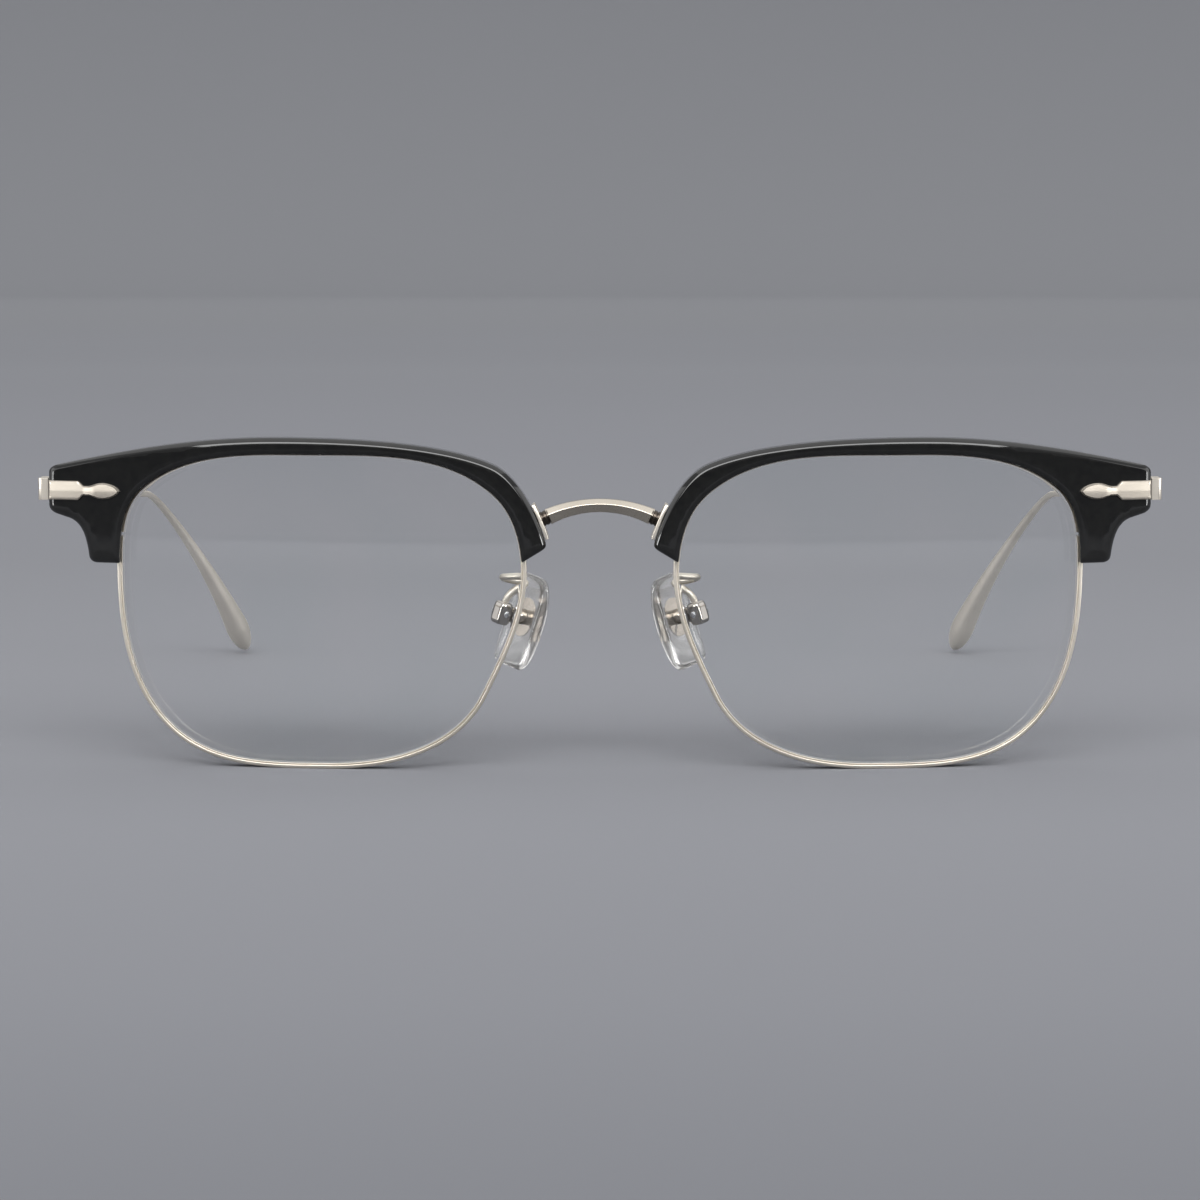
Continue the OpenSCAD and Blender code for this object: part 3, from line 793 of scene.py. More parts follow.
# Drawn titanium bar, brushed along its length: its highlight spreads across it. The
# grain of this and the next is drawn at 0.1 mm, twice as coarse as it is, so that it shows
BAR_METAL = metal(
    "temple champagne titanium", TITANIUM, "#eae3d7", "#e1dace", 0.38, 0.48, (0.1, 2.5, 0.1)
)
# Stamped titanium, brushed along its length: fine level streaks in a soft sheen
PLATE_METAL = metal(
    "plate champagne titanium", TITANIUM, "#aea79c", "#a39c91", 0.36, 0.46, (1.8, 0.1, 0.09)
)
# Brown black on the necks, a painted reflection of the black brow bars: dark stubs with a dull
# glint
PAINTED_DARK_NECK_METAL = metal("neck metal painted dark", "burnished_metal", "#504943", "#39342f", 0.2, 0.32)
# Lightly burnished: a warm grey that still mirrors, seen through the pad
CORE_METAL = metal("pad core metal", "burnished_metal", "#b4aca2", "#9c958c", 0.12, 0.2)
# Cast and polished: it mirrors the room
BRIGHT_METAL = metal(
    "polished metal", "polished_metal", "#a29d97", "#96918b", 0.05, 0.1, strength=0.1
)
# Turned stainless steel: cooler than the titanium round it
SCREW_METAL = metal("screw steel", "steel_screw", "#bfc1c3", "#a9abae", 0.2, 0.32)
# Black cellulose acetate, milled, bevelled and tumble polished: a deep gloss with a
# faint waviness
HAZE = Pattern((0.9, 0.9, 0.9), 3.0)
WAVE = Pattern((5.0, 5.0, 5.0), 1.0)
ACETATE = Surface(
    "black polished acetate", "black_acetate", "#080808", "#0e0e0d", 0.04, 0.07,
    HAZE, HAZE, WAVE, 0.03, 0.25, (("IOR", 1.48),),
)
# Cast clear plastic without a tint: it shows by its edge and by faint reflections
FILM = Pattern((14.0, 14.0, 14.0), 1.0)
LENS_PLASTIC = Surface(
    "clear lens plastic", "clear_lens", "#fbfdfd", "#ffffff", 0.0, 0.015,
    FILM, FILM, None, 0.0, 0.0, (("IOR", 1.5), ("Transmission Weight", 1.0)),
)
# Silicone moulded in a polished tool: clear, with a faint haze. Its IOR is drawn as
# 1.5, not 1.41, so that its rim is as bright as it should be
CLOUD = Pattern((0.5, 0.5, 0.5), 2.0)
SILICONE = Surface(
    "clear moulded silicone", "clear_silicone", "#f1efec", "#faf9f7", 0.02, 0.06,
    CLOUD, CLOUD, CLOUD, 0.01, 0.1, (("IOR", 1.5), ("Transmission Weight", 0.93)),
)
PAPER = StudioPaper()


# The glasses


@dataclass(frozen=True)
class LensShape:
    """The lens opening, a loop of eight arc-like cubics from knot to knot.

    A knot is a share of the width, a share of the height and the outline's direction.
    """

    inner_x: float = 10.1
    bottom_z: float = 0.7
    width: float = 51.6
    height: float = 39.8
    knots: tuple[tuple[float, float, float], ...] = (
        (1, 0.634, 90), (0.944, 0.887, 140), (0.521, 1, 180), (0.073, 0.877, 221),
        (0, 0.624, 270), (0.097, 0.235, 296), (0.483, 0, 360), (0.873, 0.111, 402.5),
    )

    @property
    def outer_x(self) -> float:
        """The opening's edge at the temple."""
        return self.inner_x + self.width

    @property
    def top_z(self) -> float:
        """The opening's highest point."""
        return self.bottom_z + self.height

    def outline(self, outwards: float = 0.0, steps: int = 26) -> Array:
        """The outline moved outwards, anticlockwise from its widest point.

        Args:
            outwards: distance from the opening, negative for inwards.
            steps: points from knot to knot.

        Returns:
            (8 * steps, 2) points of the front view.
        """
        knots = np.array(self.knots, float)
        nexts = np.roll(knots, -1, axis=0)
        p = knots[:, :2] * [self.width, self.height] + [self.inner_x, self.bottom_z]
        q = np.roll(p, -1, axis=0)
        turn = np.radians((nexts[:, 2] - knots[:, 2] + 360) % 360)
        handle = np.linalg.norm(q - p, axis=1) / (3 * np.cos(turn / 4) ** 2)
        a, b = np.radians(knots[:, 2]), np.radians(nexts[:, 2])
        reach_p = handle[:, None] * np.stack([np.cos(a), np.sin(a)], 1)
        reach_q = handle[:, None] * np.stack([np.cos(b), np.sin(b)], 1)
        t = np.linspace(0, 1, steps, endpoint=False)
        arcs = [np.stack(c) for c in zip(p, p + reach_p, q - reach_q, q)]
        line = np.concatenate([cubic(arc, t) for arc in arcs])
        slope = np.concatenate([cubic_slope(arc, t) for arc in arcs])
        slope /= np.linalg.norm(slope, axis=1, keepdims=True)
        return line + outwards * np.stack([slope[:, 1], -slope[:, 0]], axis=1)


def on_ball(outline: Array, normals: Array, profile: Array) -> Array:
    """Carries a profile of (distance outwards, layer radius) along an outline.

    Args:
        outline: (n, 2) points of the front view.
        normals: (n, 2) unit normals.
        profile: (m, 2) distance from the outline and radius of the layer.

    Returns:
        (n * m, 3) points.
    """
    flat = outline[:, None] + profile[None, :, :1] * normals[:, None]
    radius = np.broadcast_to(profile[None, :, 1], flat.shape[:2])
    return BALL.lay(flat.reshape(-1, 2), radius.reshape(-1))


@dataclass
class RimAndLens:
    """The split eyewire with its groove, and the lens that it holds. Fronts and
    backs are radii of the ball's layers."""

    shape: LensShape = field(default_factory=LensShape)
    lens_front: float = 140.0
    lens_back: float = 138.2
    lens_bed: float = 0.03
    lens_ease: float = 0.08
    bevel_tip: float = 0.28
    wire_front: float = 140.35
    wire_back: float = 137.85
    wire_width: float = 0.7
    groove_half: float = 0.44
    groove_depth: float = 0.12
    wire_rounding: float = 0.14
    split_z: float = 30.2
    split_gap: float = 0.3

    def wire_profile(self) -> Array:
        """The eyewire's section: a rounded bar with a groove inside, as (distance
        outwards, layer radius), its edges turned over a small radius.

        Returns:
            (m, 2) closed section.
        """
        mid = (self.lens_front + self.lens_back) / 2
        g0, g1 = mid - self.groove_half, mid + self.groove_half
        w, d, front, back = self.wire_width, self.groove_depth, self.wire_front, self.wire_back
        lip = front - 0.05
        body = np.array([
            [w, back], [w, front], [0.26, front], [0.2, front - 0.2], [0.14, lip], [0, lip],
            [0, g1], [d, g1 - d], [d, g0 + d], [0, g0], [0, back],
        ])
        return rounded(body, self.wire_rounding)

    def split_path(self) -> tuple[Array, Array]:
        """The opening from just above the split round to just below it, and its normals.

        Returns:
            (n, 2) points and (n, 2) unit normals.
        """
        loop = self.shape.outline(0.0, 40)
        right = loop[:, 0] > self.shape.inner_x + self.shape.width / 2
        half_gap = self.split_gap / 2
        start = int(np.flatnonzero(right & (loop[:, 1] > self.split_z + half_gap))[0])
        path = np.roll(loop, -start, axis=0)
        normals = np.roll(outward_normals(loop), -start, axis=0)
        low = (path[:, 0] > self.shape.outer_x - 3) & (path[:, 1] > self.split_z - half_gap)
        late = np.arange(len(path)) > len(path) * 0.8
        keep = ~(low & late)
        return path[keep], normals[keep]

    def make(self, side: Side) -> None:
        """Builds the eyewire and the lens of one side.

        Args:
            side: the side that it is placed on.
        """
        path, normals = self.split_path()
        profile = self.wire_profile()
        points = on_ball(path, normals, profile)
        faces = grid_faces(len(path), len(profile)) + end_faces(len(path), len(profile))
        make_piece("eyewire", "formed", (points, faces), side, 30, RIM_METAL)
        self.make_lens(side)

    def make_lens(self, side: Side) -> None:
        """Builds the lens: rings from its middle to its edge on both faces, with the
        bevel that sits in the groove between them.

        Args:
            side: the side that it is placed on.
        """
        edge = self.shape.outline()
        normals, centre = outward_normals(edge), edge.mean(0)
        front, back, mid = self.lens_front, self.lens_back, (self.lens_front + self.lens_back) / 2
        share = np.linspace(0, 1, 14)[1:] ** 0.8
        bed, tip, ease = self.lens_bed, self.bevel_tip, self.lens_ease
        rims = [(-0.16, front), (bed, front - ease), (bed, mid + 0.42), (tip, mid + 0.38),
                (tip, mid - 0.38), (bed, mid - 0.42), (bed, back + ease), (-0.16, back)]
        spokes = edge - 0.3 * normals - centre
        loops = [BALL.lay(centre + s * spokes, front) for s in share]
        loops += [BALL.lay(edge + d * normals, r) for d, r in rims]
        loops += [BALL.lay(centre + s * spokes, back) for s in share[::-1]]
        hubs = [BALL.lay(centre[None], r) for r in (front, back)]
        faces = grid_faces(len(loops), len(edge)) + end_fans(len(loops), len(edge))
        shape = (np.concatenate(loops + hubs), faces)
        make_piece("lens", "polished", shape, side, 40, LENS_PLASTIC)


@dataclass
class BrowBar:
    """The black acetate bar over a lens, with its lug, its outer leg and its nose
    end. Fronts and backs are radii of the ball's layers."""

    shape: LensShape = field(default_factory=LensShape)
    front: float = 142.0
    back: float = 138.6
    pocket_front: float = 140.41
    pocket_out: float = 0.76
    over: float = 2.3
    lug_reach: float = 9.7
    lug_height: float = 4.4
    leg_width: float = 4.3
    nose_reach: float = 3.15
    chamfer: float = 0.42
    lip: float = 0.18
    sharp: float = 28.0

    @property
    def top(self) -> float:
        """The bar's highest point."""
        return self.shape.top_z + self.over

    @property
    def lug_x(self) -> float:
        """The lug's outer end."""
        return self.shape.outer_x + self.lug_reach

    @property
    def lug_top(self) -> float:
        """Height of the lug's upper corner."""
        return self.top - 4.7

    @property
    def plate_z(self) -> float:
        """Height of the middle of the plate on the lug."""
        return self.lug_top - self.lug_height / 2 - 0.15

    def nose_edge(self) -> Array:
        """Control points of the nose edge, from the top down."""
        x, z = self.shape.inner_x, self.top
        e = x - self.nose_reach
        return np.array([[x + 3.5, z - 3.4], [x + 0.2, z - 5], [e + 1.1, z - 9.5], [e, z - 13.2]])

    def outline(self) -> Array:
        """The front view's outline, anticlockwise from the leg round the lug, over
        the crown to the nose end, and back along the lens.

        Returns:
            (620, 2) points.
        """
        in_x, out_x, top = self.shape.inner_x, self.shape.outer_x, self.top
        lug = np.array([self.lug_x, self.lug_top - self.lug_height])
        peak = np.array([self.lug_x, self.lug_top])
        leg = np.array([out_x + self.leg_width, self.shape.top_z - 14.1])
        under = np.array([leg[0], lug[1]])
        crown = np.array([in_x + 0.6 * self.shape.width, top])
        nose, tip_z = self.nose_edge(), self.shape.top_z - 13.5
        curves = [
            leg + [[-1.1, 0.1], [-0.4, 0.15], [-0.05, 0.5], [0, 1.1]],
            [leg + [0.1, 1.8], under + [0.5, -3.3], under + [1.2, -1.8], lug + [-2.4, -1.4]],
            lug + [[-0.9, -0.95], [-0.4, -0.7], [0, -0.4], [0, 0.2]],
            peak + [[0, -0.1], [0, 0.4], [-0.5, 0.75], [-1.1, 0.9]],
            [peak + [-1.1, 0.9], [out_x - 0.8, top - 1.8], crown + [11, 0], crown],
            [crown, crown + [-8, 0], [in_x + 10.4, top - 0.35], nose[0]],
            nose,
            nose[3] + [[0, 0], [-0.15, -0.5], [-0.05, -0.75], [0.5, -1.1]],
        ]
        t = np.linspace(0, 1, 60)
        outer = np.concatenate([cubic(np.array(c, float), t) for c in curves])
        outer = np.concatenate([outer, [[in_x - 0.4, tip_z + 0.15], [in_x - 0.1, tip_z]]])
        loop = self.shape.outline(self.lip, 40)
        on_right = loop[:, 0] > in_x + self.shape.width / 2
        over = np.where(on_right, loop[:, 1] > leg[1] + 0.05, loop[:, 1] > tip_z)
        return even(np.concatenate([outer, loop[over][::-1]]), 620, closed=True)

    def make(self, side: Side) -> None:
        """Builds the bar: a bevelled slab, less the pocket that takes the eyewire.

        Args:
            side: the side that it is placed on.
        """
        c, front, back = self.chamfer, self.front, self.back
        rings = [
            (c + 0.2, front), (c + 0.14, front - 0.012), (c - 0.04, front - 0.08),
            (0.07, front - c + 0.04), (0.0, front - c - 0.06), (0.0, back + 0.25),
            (0.06, back + 0.08), (0.24, back),
        ]
        points, faces = slab(self.outline(), rings, BALL.lay, 0.8)
        bar = add_mesh(f"brow_{side.tag}_bevelled", points, faces, side, self.sharp)
        tool = self.pocket(side)
        cut = bar.modifiers.new("eyewire pocket", "BOOLEAN")
        cut.operation, cut.solver, cut.object = "DIFFERENCE", "EXACT", tool
        solid = bpy.data.meshes.new_from_object(
            bar.evaluated_get(bpy.context.evaluated_depsgraph_get())
        )
        bar.modifiers.clear()
        bar.data = solid
        bpy.data.objects.remove(tool, do_unlink=True)
        solid.shade_smooth()
        solid.set_sharp_from_angle(angle=math.radians(self.sharp))
        place(bar, "front", ACETATE, [f"brow_{side.tag}"])

    def pocket(self, side: Side) -> bpy.types.Object:
        """The space behind the bar's lip that the eyewire fills.

        Args:
            side: the side that it is placed on.

        Returns:
            A slab shaped object to cut with.
        """
        loop = self.shape.outline(self.pocket_out)
        points, faces = slab(loop, [(0.0, self.pocket_front), (0.0, self.back - 6)], BALL.lay, 2.0)
        return add_mesh(f"pocket_{side.tag}", points, faces, side)


@dataclass
class FrontPlate:
    """The arrow shaped metal plate let into the lug. Its front and back are radii
    of the ball's layers."""

    brow: BrowBar = field(default_factory=BrowBar)
    length: float = 9.5
    height: float = 2.45
    waist: float = 0.6
    bulb: float = 1.03
    back: float = 141.75
    front: float = 142.35
    edge: float = 0.14
    ridge: float = 0.1
    swell: float = 0.14

    def outline(self) -> Array:
        """The plate's outline: a square outer part, a neck, a bulb and a point, the
        upper half mirrored below the middle. Points are worked out as a share of
        the length, inwards from the lug's end, and a height in millimetres.

        Returns:
            (260, 2) points of the front view.
        """
        h, low, full = self.height / 2, self.waist, self.bulb
        t = np.linspace(0, 1, 24)
        square = np.array([[0.0, 0.0], [0.0, h], [0.42, h], [0.49, low]])
        waist = cubic(np.array([[0.55, low], [0.62, low], [0.66, full], [0.77, full]]), t)
        point = cubic(np.array([[0.77, full], [0.86, full], [0.985, 0.6], [1.0, 0.0]]), t)
        upper = np.concatenate([square, waist, point]) * [-self.length, 1]
        upper += [self.brow.lug_x - 0.05, 0]
        lower = upper[::-1][1:-1] * [1, -1]
        return even(np.concatenate([upper, lower]), 260, closed=True) + [0, self.brow.plate_z]

    def lift(self, flat: Array) -> Array:
        """Height of the shallow ridge along the middle, which falls off evenly with
        the distance above or below it, and of a round swell on the bulb.

        Args:
            flat: (n, 2) points of the front view.

        Returns:
            (n,) heights.
        """
        off = np.abs(flat[:, 1] - self.brow.plate_z) / (self.height / 2)
        along = (self.brow.lug_x - flat[:, 0]) / self.length
        rise = np.clip((along - 0.5) / 0.15, 0, 1)
        dome = rise * np.sqrt(np.clip(1 - (off / 0.95) ** 2, 0, 1))
        return self.ridge * np.clip(1 - off, 0, 1) + self.swell * dome

    def make(self, side: Side) -> None:
        """Builds the plate with its fine bevelled edge.

        Args:
            side: the side that it is placed on.
        """
        e, front = self.edge, self.front
        rings = [(e + 0.05, front), (e * 0.6, front - 0.03), (0.0, front - e), (0.0, self.back)]
        shape = slab(self.outline(), rings, BALL.lay, 0.16, self.lift)
        make_piece("front_plate", "brushed", shape, side, 25, PLATE_METAL)


@dataclass
class Bridge:
    """The arch over the nose with its dark necks."""

    half: float = 6.49776
    base_z: float = 32.8189
    depth_y: float = -0.348677
    rise: float = 1.4
    height: float = 1.87
    depth: float = 1.9
    foot: tuple[float, float] = (7.89029, 32.2349)
    neck_radius: float = 0.96
    overlap: float = 0.4
    flare: float = 0.2

    def section(self) -> Array:
        """The arch's section as (height, depth): a front face in two facets with a
        crease two thirds up, and eased edges.

        Returns:
            (m, 2) closed section.
        """
        h, d = self.height / 2, self.depth / 2
        crease = h - 0.38 * self.height
        corners = np.array([
            [-h, -0.75 * d], [-h + 0.2, -d], [h - 0.2, -d], [h, -0.75 * d],
            [h, 0.3 * d], [crease, d], [-h, 0.45 * d],
        ])
        return rounded(corners, 0.13)

    def make(self) -> None:
        """Carries the section along the arc from neck to neck: a point at height u
        and depth v lies at radius R + u, moved by v towards the front. The height
        grows with the square of the distance from the middle, by the flare in all."""
        radius = (self.half**2 + self.rise**2) / (2 * self.rise)
        reach = math.asin(self.half / radius) + math.radians(self.overlap)
        turn = np.linspace(-reach, reach, 72)
        section = self.section()
        growth = 1 + self.flare * ((turn[:, None] / reach) ** 2 - 0.5)
        r = radius + section[None, :, 0] * growth
        x = r * np.sin(turn)[:, None]
        z = self.base_z + self.rise - radius + r * np.cos(turn)[:, None]
        y = np.broadcast_to(self.depth_y - section[None, :, 1], x.shape)
        points = np.stack([x, y, z], axis=-1).reshape(-1, 3)
        faces = grid_faces(*x.shape) + end_faces(*x.shape)
        arch = add_mesh("bridge_arch", points, faces, None, 25)
        place(arch, "front", ARCH_METAL, ["bridge"])

    def make_neck(self, side: Side) -> None:
        """Turns the neck: a dark pin with two shallow grooves, its brown black a painted reflection
        of the black brow.

        Args:
            side: the side that it is placed on.
        """
        foot = np.array([self.foot[0], self.depth_y, self.foot[1]])
        axis = np.array([self.half, self.depth_y, self.base_z]) - foot
        share = np.array([0.0, 0.0, 0.06, 0.3, 0.36, 0.42, 0.48, 0.74, 0.8, 0.86, 0.92, 1.0, 1.0])
        radii = np.array([0.0, 0.92, 1.0, 1.0, 0.9, 0.9, 1.0, 1.0, 0.9, 0.9, 1.0, 1.0, 0.0])
        start, end = 0.4, float(np.linalg.norm(axis)) + 0.05
        pin = np.stack([self.neck_radius * radii, start + share * (end - start)], axis=1)
        make_piece("bridge_neck", "turned", turned(pin, foot, axis), side, 40, PAINTED_DARK_NECK_METAL)


@dataclass
class NosePad:
    """A clear silicone pad with the box, the core and the looped arm behind it.

    The pad's own frame has X across it towards the temple, Y towards the nose and Z
    up it; (a, b, c) there lies at origin + (x cos lean - c sin lean, y, x sin lean +
    c cos lean), where x and y are a and b turned by the splay.
    """

    origin: tuple[float, float, float] = (9.55, 9.0, 18.9)
    splay: float = 51.0
    lean: float = 17.0
    length: float = 12.4
    width: float = 7.2
    square: float = 0.38
    thick: float = 2.0
    back: float = -0.9
    shift: tuple[float, float, float] = (0.1, 0.0, -0.55)
    dome: float = 16.0
    arm_width: float = 0.9
    box_middle: float = -4.3
    box_height: float = 3.0
    box_width: float = 2.1
    box_depth: float = 2.0
    box_power: float = 5.0
    wire_inner: float = 9.81
    wire_back: float = 137.85
    arm_z: float = 24.978

    def placed(self, points: Array) -> Array:
        """Points of the pad's frame in the frame of the side.

        Args:
            points: (n, 3) points of the pad's frame.

        Returns:
            (n, 3) points.
        """
        s, c = math.radians(self.splay), math.radians(self.lean)
        x = points[:, 0] * math.cos(s) - points[:, 1] * math.sin(s)
        y = points[:, 0] * math.sin(s) + points[:, 1] * math.cos(s)
        z = points[:, 2]
        leant = [x * math.cos(c) - z * math.sin(c), y, x * math.sin(c) + z * math.cos(c)]
        return np.stack(leant, axis=1) + np.array(self.origin)

    def outline(self, count: int = 120) -> Array:
        """The pad's outline: an ellipse drawn towards a rounded box, broader below.

        Args:
            count: number of points.

        Returns:
            (count, 2) points across and up the pad.
        """
        a = np.linspace(0, 2 * np.pi, 8 * count, endpoint=False)
        x = self.width / 2 * (1 - 0.1 * np.sin(a)) * powered(np.cos(a), self.square)
        z = self.length / 2 * powered(np.sin(a), self.square)
        return even(np.stack([x, z], axis=1), count, closed=True)

    def layer(self, flat: Array, share: float) -> Array:
        """Points between the flat back, share 0, and the domed face, share 1.

        Args:
            flat: (n, 2) points across and up the pad.
            share: place between back and face.

        Returns:
            (n, 3) points of the side.
        """
        x, z = flat[:, 0], flat[:, 1]
        face = self.back + self.thick - (self.dome - np.sqrt(self.dome**2 - x**2 - z**2))
        y = self.back + share * (face - self.back)
        return self.placed(np.stack([x, y, z], axis=1) + np.array(self.shift))

    def make(self, side: Side) -> None:
        """Builds the pad, with a full rounded rim and a dome towards the nose.

        Args:
            side: the side that it is placed on.
        """
        half = [(1.0, 1.0), (0.62, 0.985), (0.34, 0.93), (0.14, 0.82), (0.03, 0.66)]
        rings = half + [(0.0, 0.5)] + [(inset, 1 - share) for inset, share in half[::-1]]
        shape = slab(self.outline(), rings, self.layer, 0.7)
        pad = make_piece("nose_pad", "moulded", shape, side, 60, SILICONE, "pad")
        self.make_arm(side)
        self.make_box(side)

    def make_box(self, side: Side) -> None:
        """Casts the box: a rounded block whose radius in a direction is that of a
        box drawn towards a ball, |x|^n + |y|^n + |z|^n = 1, with n of box_power.

        Args:
            side: the side that it is placed on.
        """
        rows, columns = 41, 64
        up = np.linspace(-np.pi / 2, np.pi / 2, rows)[:, None]
        about = np.linspace(0, 2 * np.pi, columns, endpoint=False)[None, :]
        level = np.cos(up)
        way = np.broadcast_arrays(level * np.cos(about), level * np.sin(about), np.sin(up))
        way = np.stack(way, axis=-1)
        power = self.box_power
        reach = (np.abs(way) ** power).sum(-1, keepdims=True) ** (-1 / power)
        half = np.array([self.box_width, self.box_depth, self.box_height]) / 2
        block = way * reach * half + [0, self.box_middle, 0]
        shape = (self.placed(block.reshape(-1, 3)), grid_faces(rows, columns))
        make_piece("pad_box", "cast", shape, side, 80, BRIGHT_METAL)

    def make_arm(self, side: Side) -> None:
        """Bends the arm: a round wire from the eyewire, looped towards the lens and
        down to the box.

        Args:
            side: the side that it is placed on.
        """
        behind = float(BALL.depth(self.wire_back, self.wire_inner, self.arm_z))
        a = np.array([self.wire_inner, behind, self.arm_z])
        b, c = a + [2.6, 2.6, -0.3], a + [0.2, 5.2, -1.2]
        high = self.placed(np.array([[0, self.box_middle, self.box_height / 2 + 2.2]]))[0]
        end = self.placed(np.array([[0, self.box_middle, self.box_height / 2 - 0.1]]))[0]
        t = np.linspace(0, 1, 24)
        path = np.concatenate([
            cubic(np.stack([a, a + [0, 1.3, 0], b + [-0.6, -1.1, 0.1], b]), t[:-1]),
            cubic(np.stack([b, b + [0.7, 1.3, -0.1], c + [1.9, 0.3, 0.2], c]), t[:-1]),
            cubic(np.stack([c, c + [-1.3, -0.2, -0.4], high, end]), t),
        ])
        angle = np.linspace(0, 2 * np.pi, 24, endpoint=False)
        ring = self.arm_width / 2 * np.stack([np.cos(angle), np.sin(angle)], axis=1)
        shape = sweep(path, ring, np.array([0.0, 0.0, 1.0]))
        make_piece("pad_arm", "bent", shape, side, 50, RIM_METAL)


@dataclass
class Temple:
    """The slim temple behind its hinge blade: a bar, a bend and a teardrop tip.

    The slope is in degrees; widest is the share of the bend at which the tip is
    broadest, and swell and corners are powers.
    """

    x: float = 72.25
    start_y: float = 18.55
    start_z: float = 35.75
    bend_y: float = 103.387
    bend_z: float = 28.7782
    end: tuple[float, float, float] = (58.95, 139.187, 0.665)
    slope: float = 4.7
    knee_in: float = 1.65
    knee_lead: float = 14.0
    end_lead: tuple[float, float, float] = (3.5, -13.3, 13.7)
    thick: float = 1.3
    high: float = 2.2
    neck: float = 0.95
    tip: float = 3.8
    widest: float = 0.9
    swell: float = 2.6
    corners: float = 0.8
    bar_steps: int = 40
    bend_steps: int = 110

    def path(self) -> Array:
        """The temple's middle line: straight to the bend and one cubic to the tip.

        Returns:
            (bar_steps + bend_steps, 3) points.
        """
        start = np.array([self.x, self.start_y, self.start_z])
        knee = np.array([self.x - self.knee_in, self.bend_y, self.bend_z])
        end = np.array(self.end)
        fall = math.tan(math.radians(self.slope))
        share = np.linspace(0, 1, self.bar_steps, endpoint=False)[:, None]
        lead = self.knee_lead * np.array([0, 1, -fall])
        bend = np.stack([knee, knee + lead, end + self.end_lead, end])
        curve = cubic(bend, np.linspace(0, 1, self.bend_steps))
        return np.concatenate([start + (knee - start) * share, curve])

    def sizes(self) -> tuple[Array, Array]:
        """Half width and half height along the path: an even taper to the neck, a
        swell by a power of the distance, and a round end.

        Returns:
            Two arrays of one value for each point of the path.
        """
        share = np.linspace(0, 1, self.bar_steps, endpoint=False)
        t = np.linspace(0, 1, self.bend_steps)
        n, tip = self.neck / 2, self.tip / 2
        full = self.widest
        closing = np.sqrt(np.clip(1 - ((t - full) / (1.0001 - full)) ** 2, 0, 1))
        grow = np.where(t < full, n + (tip - n) * (t / full) ** self.swell, tip * closing)
        thick, high = self.thick / 2, self.high / 2
        wide = np.concatenate([thick + (n - thick) * share, n + 0.85 * (grow - n)])
        tall = np.concatenate([high + (n - high) * share, grow])
        return np.maximum(wide, 0.01), np.maximum(tall, 0.01)

    def make(self, side: Side) -> None:
        """Builds the temple: a section between an ellipse and a box, with radii that
        change along the path.

        Args:
            side: the side that it is placed on.
        """
        wide, tall = self.sizes()
        angle = np.linspace(0, 2 * np.pi, 40, endpoint=False)
        u, v = powered(np.cos(angle), self.corners), powered(np.sin(angle), self.corners)
        sections = np.stack([wide[:, None] * u, tall[:, None] * v], axis=-1)
        shape = sweep(self.path(), sections, np.array([0.0, 0.0, 1.0]))
        make_piece("temple", "drawn", shape, side, 50, BAR_METAL, "temple")


@dataclass(frozen=True)
class SoftBox:
    """A lamp with a flat even face: its place, the point that it faces and its
    width and height in metres, and its power in watts."""

    name: str
    at: tuple[float, float, float]
    to: tuple[float, float, float]
    size: tuple[float, float]
    power: float

    def hang(self) -> None:
        """Makes the lamp and turns it: its height above the horizon sets the tilt
        and its bearing the turn."""
        data = bpy.data.lights.new(self.name, "AREA")
        data.shape, data.energy = "RECTANGLE", self.power
        data.size, data.size_y = self.size
        x, y, z = np.array(self.at) - np.array(self.to)
        lamp = linked(self.name, data)
        lamp.location = self.at
        lamp.rotation_euler = (math.atan2(math.hypot(x, y), z), 0.0, math.atan2(x, -y))


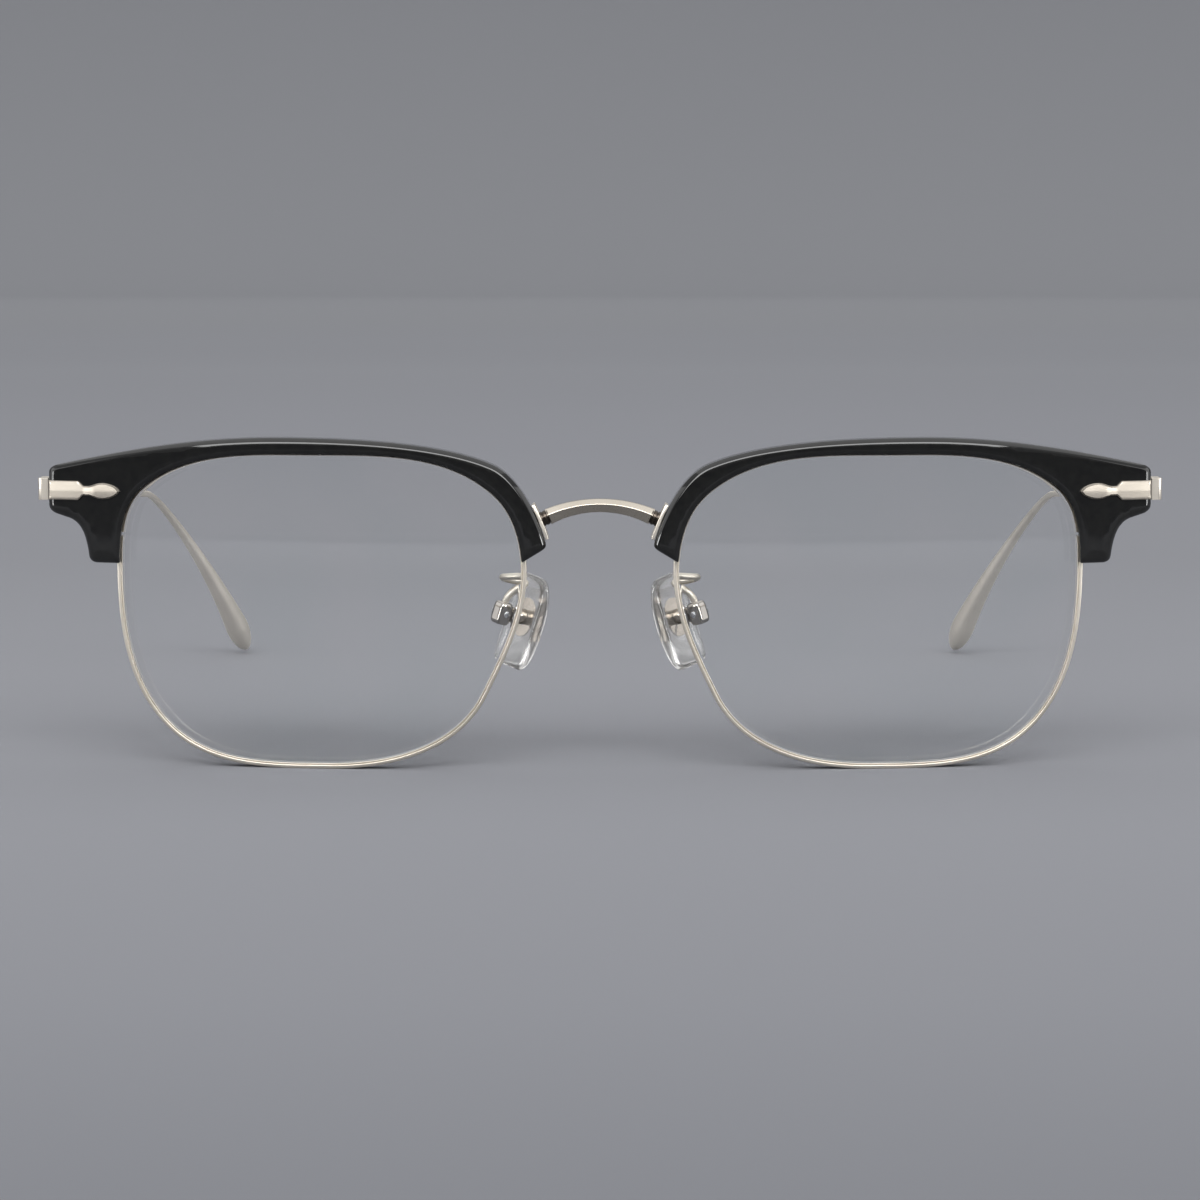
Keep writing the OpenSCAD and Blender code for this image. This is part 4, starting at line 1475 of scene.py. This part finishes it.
@dataclass
class Studio:
    """The seamless grey sweep, the lamps and the camera of the photograph.

    Camera distances are in millimetres, the pitch in degrees, and the focal length
    in pixels of a frame as wide as frame. The paper's radii are in metres.
    """

    camera_back: float = 462.88
    camera_up: float = 66.38
    pitch: float = 5.47
    focal: float = 3633.0
    frame: float = 1200.0
    paper_flat: float = 5.0
    paper_bend: float = 1.0
    paper_top: float = 1.6
    sky: tuple[tuple[float, str], ...] = ((0.05, "#7d7e82"), (0.6, "#f2f3f5"))
    sky_strength: float = 0.75
    lamps: tuple[SoftBox, ...] = (
        SoftBox("top box", (0.0, 0.1, 0.9), (0.0, 0.0, 0.0), (1.4, 1.4), 6.0),
        SoftBox("left card", (-1.5, -0.2, 0.55), (0.0, -0.02, 0.1), (1.5, 1.1), 7.0),
        SoftBox("right card", (1.5, -0.2, 0.55), (0.0, -0.02, 0.1), (1.5, 1.1), 8.0),
        SoftBox("left strip", (-0.9, -0.45, 0.14), (0.0, -0.02, 0.02), (0.2, 0.26), 3.2),
        SoftBox("right strip", (0.9, -0.45, 0.14), (0.0, -0.02, 0.02), (0.2, 0.26), 3.4),
        SoftBox("front box", (0.0, -0.97, 0.72), (0.0, 0.0, 0.02), (1.5, 0.66), 26.0),
    )

    def make(self) -> None:
        """Sets up floor, lamps and camera."""
        self.sweep_paper()
        self.light()
        data = bpy.data.cameras.new("camera")
        data.sensor_width = 36.0
        data.lens = self.focal / self.frame * data.sensor_width
        data.clip_start, data.clip_end = 0.01, 30.0
        camera = linked("camera", data)
        camera.location = (0.0, (SHIFT_Y - self.camera_back) * MM, self.camera_up * MM)
        camera.rotation_euler = (math.radians(90 - self.pitch), 0.0, 0.0)
        bpy.context.scene.camera = camera

    def sweep_paper(self) -> None:
        """A wide level bowl: flat under the object, turned up into a wall far away.
        Height is 0 up to the bend and then follows a quarter circle."""
        flat, bend = self.paper_flat, self.paper_bend
        turn = np.linspace(0, math.pi / 2, 24)[1:]
        level = np.linspace(0.02, flat, 24)
        radius = np.concatenate([level, flat + bend * np.sin(turn), [flat + bend]])
        height = np.concatenate([np.zeros(24), bend * (1 - np.cos(turn)), [self.paper_top]])
        angle = np.linspace(0, 2 * np.pi, 96, endpoint=False)
        x = radius[:, None] * np.cos(angle)
        y = radius[:, None] * np.sin(angle)
        z = np.broadcast_to(height[:, None], x.shape)
        points = np.stack([x, y, z], axis=-1).reshape(-1, 3)
        mesh = bpy.data.meshes.new("studio_sweep")
        mesh.from_pydata(points, [], grid_faces(*x.shape) + end_faces(*x.shape)[:1])
        mesh.shade_smooth()
        mesh.materials.append(PAPER.material())
        linked("studio_sweep", mesh)

    def light(self) -> None:
        """A world that is dim at the horizon and bright overhead, and the lamps, so
        that a colour renders about as it is written."""
        world = bpy.data.worlds.new("studio")
        world.use_nodes = True
        tree = world.node_tree
        tree.nodes.clear()
        where = add_node(tree, "ShaderNodeTexCoord").outputs["Generated"]
        split = add_node(tree, "ShaderNodeSeparateXYZ", links={"Vector": where})
        colour = add_node(tree, "ShaderNodeValToRGB", links={"Fac": split.outputs["Z"]})
        set_stops(colour.color_ramp, self.sky)
        strength = {("Strength",): self.sky_strength}
        sky = add_node(tree, "ShaderNodeBackground", strength, {"Color": colour.outputs[0]})
        add_node(tree, "ShaderNodeOutputWorld", links={"Surface": sky.outputs[0]})
        bpy.context.scene.world = world
        for lamp in self.lamps:
            lamp.hang()


# CAD nodes whose shape is right, with their body and finish; the edge eased on each in millimetres
TRIM: tuple[tuple[str, str, Finish, float], ...] = (
    ("bridge_cheek", "front", RIM_METAL, 0.08),
    ("end_piece", "front", RIM_METAL, 0.1),
    ("rim_lock", "front", RIM_METAL, 0.1),
    ("rim_lock_screw", "front", SCREW_METAL, 0.05),
    ("brow_screw", "front", SCREW_METAL, 0.05),
    ("hinge_screw", "front", SCREW_METAL, 0.06),
    ("pad_screw", "front", SCREW_METAL, 0.04),
    ("pad_core", "pad", CORE_METAL, 0.06),
    ("temple_hinge", "temple", BAR_METAL, 0.12),
)


def main() -> None:
    """Builds the glasses in order."""
    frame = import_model()
    bpy.context.scene.view_settings.view_transform = "Standard"
    Studio().make()
    for side in Side:
        RimAndLens().make(side)
        BrowBar().make(side)
        FrontPlate().make(side)
        NosePad().make(side)
        Temple().make(side)
        Bridge().make_neck(side)
        for stem, carrier, finish, width in TRIM:
            body = carrier if carrier == "front" else f"{carrier}_{side.tag}"
            softened(frame, f"{stem}_{side.tag}", body, finish, width)
    Bridge().make()


if __name__ == "__main__":
    logging.basicConfig(level=logging.INFO, format="%(message)s")
    main()
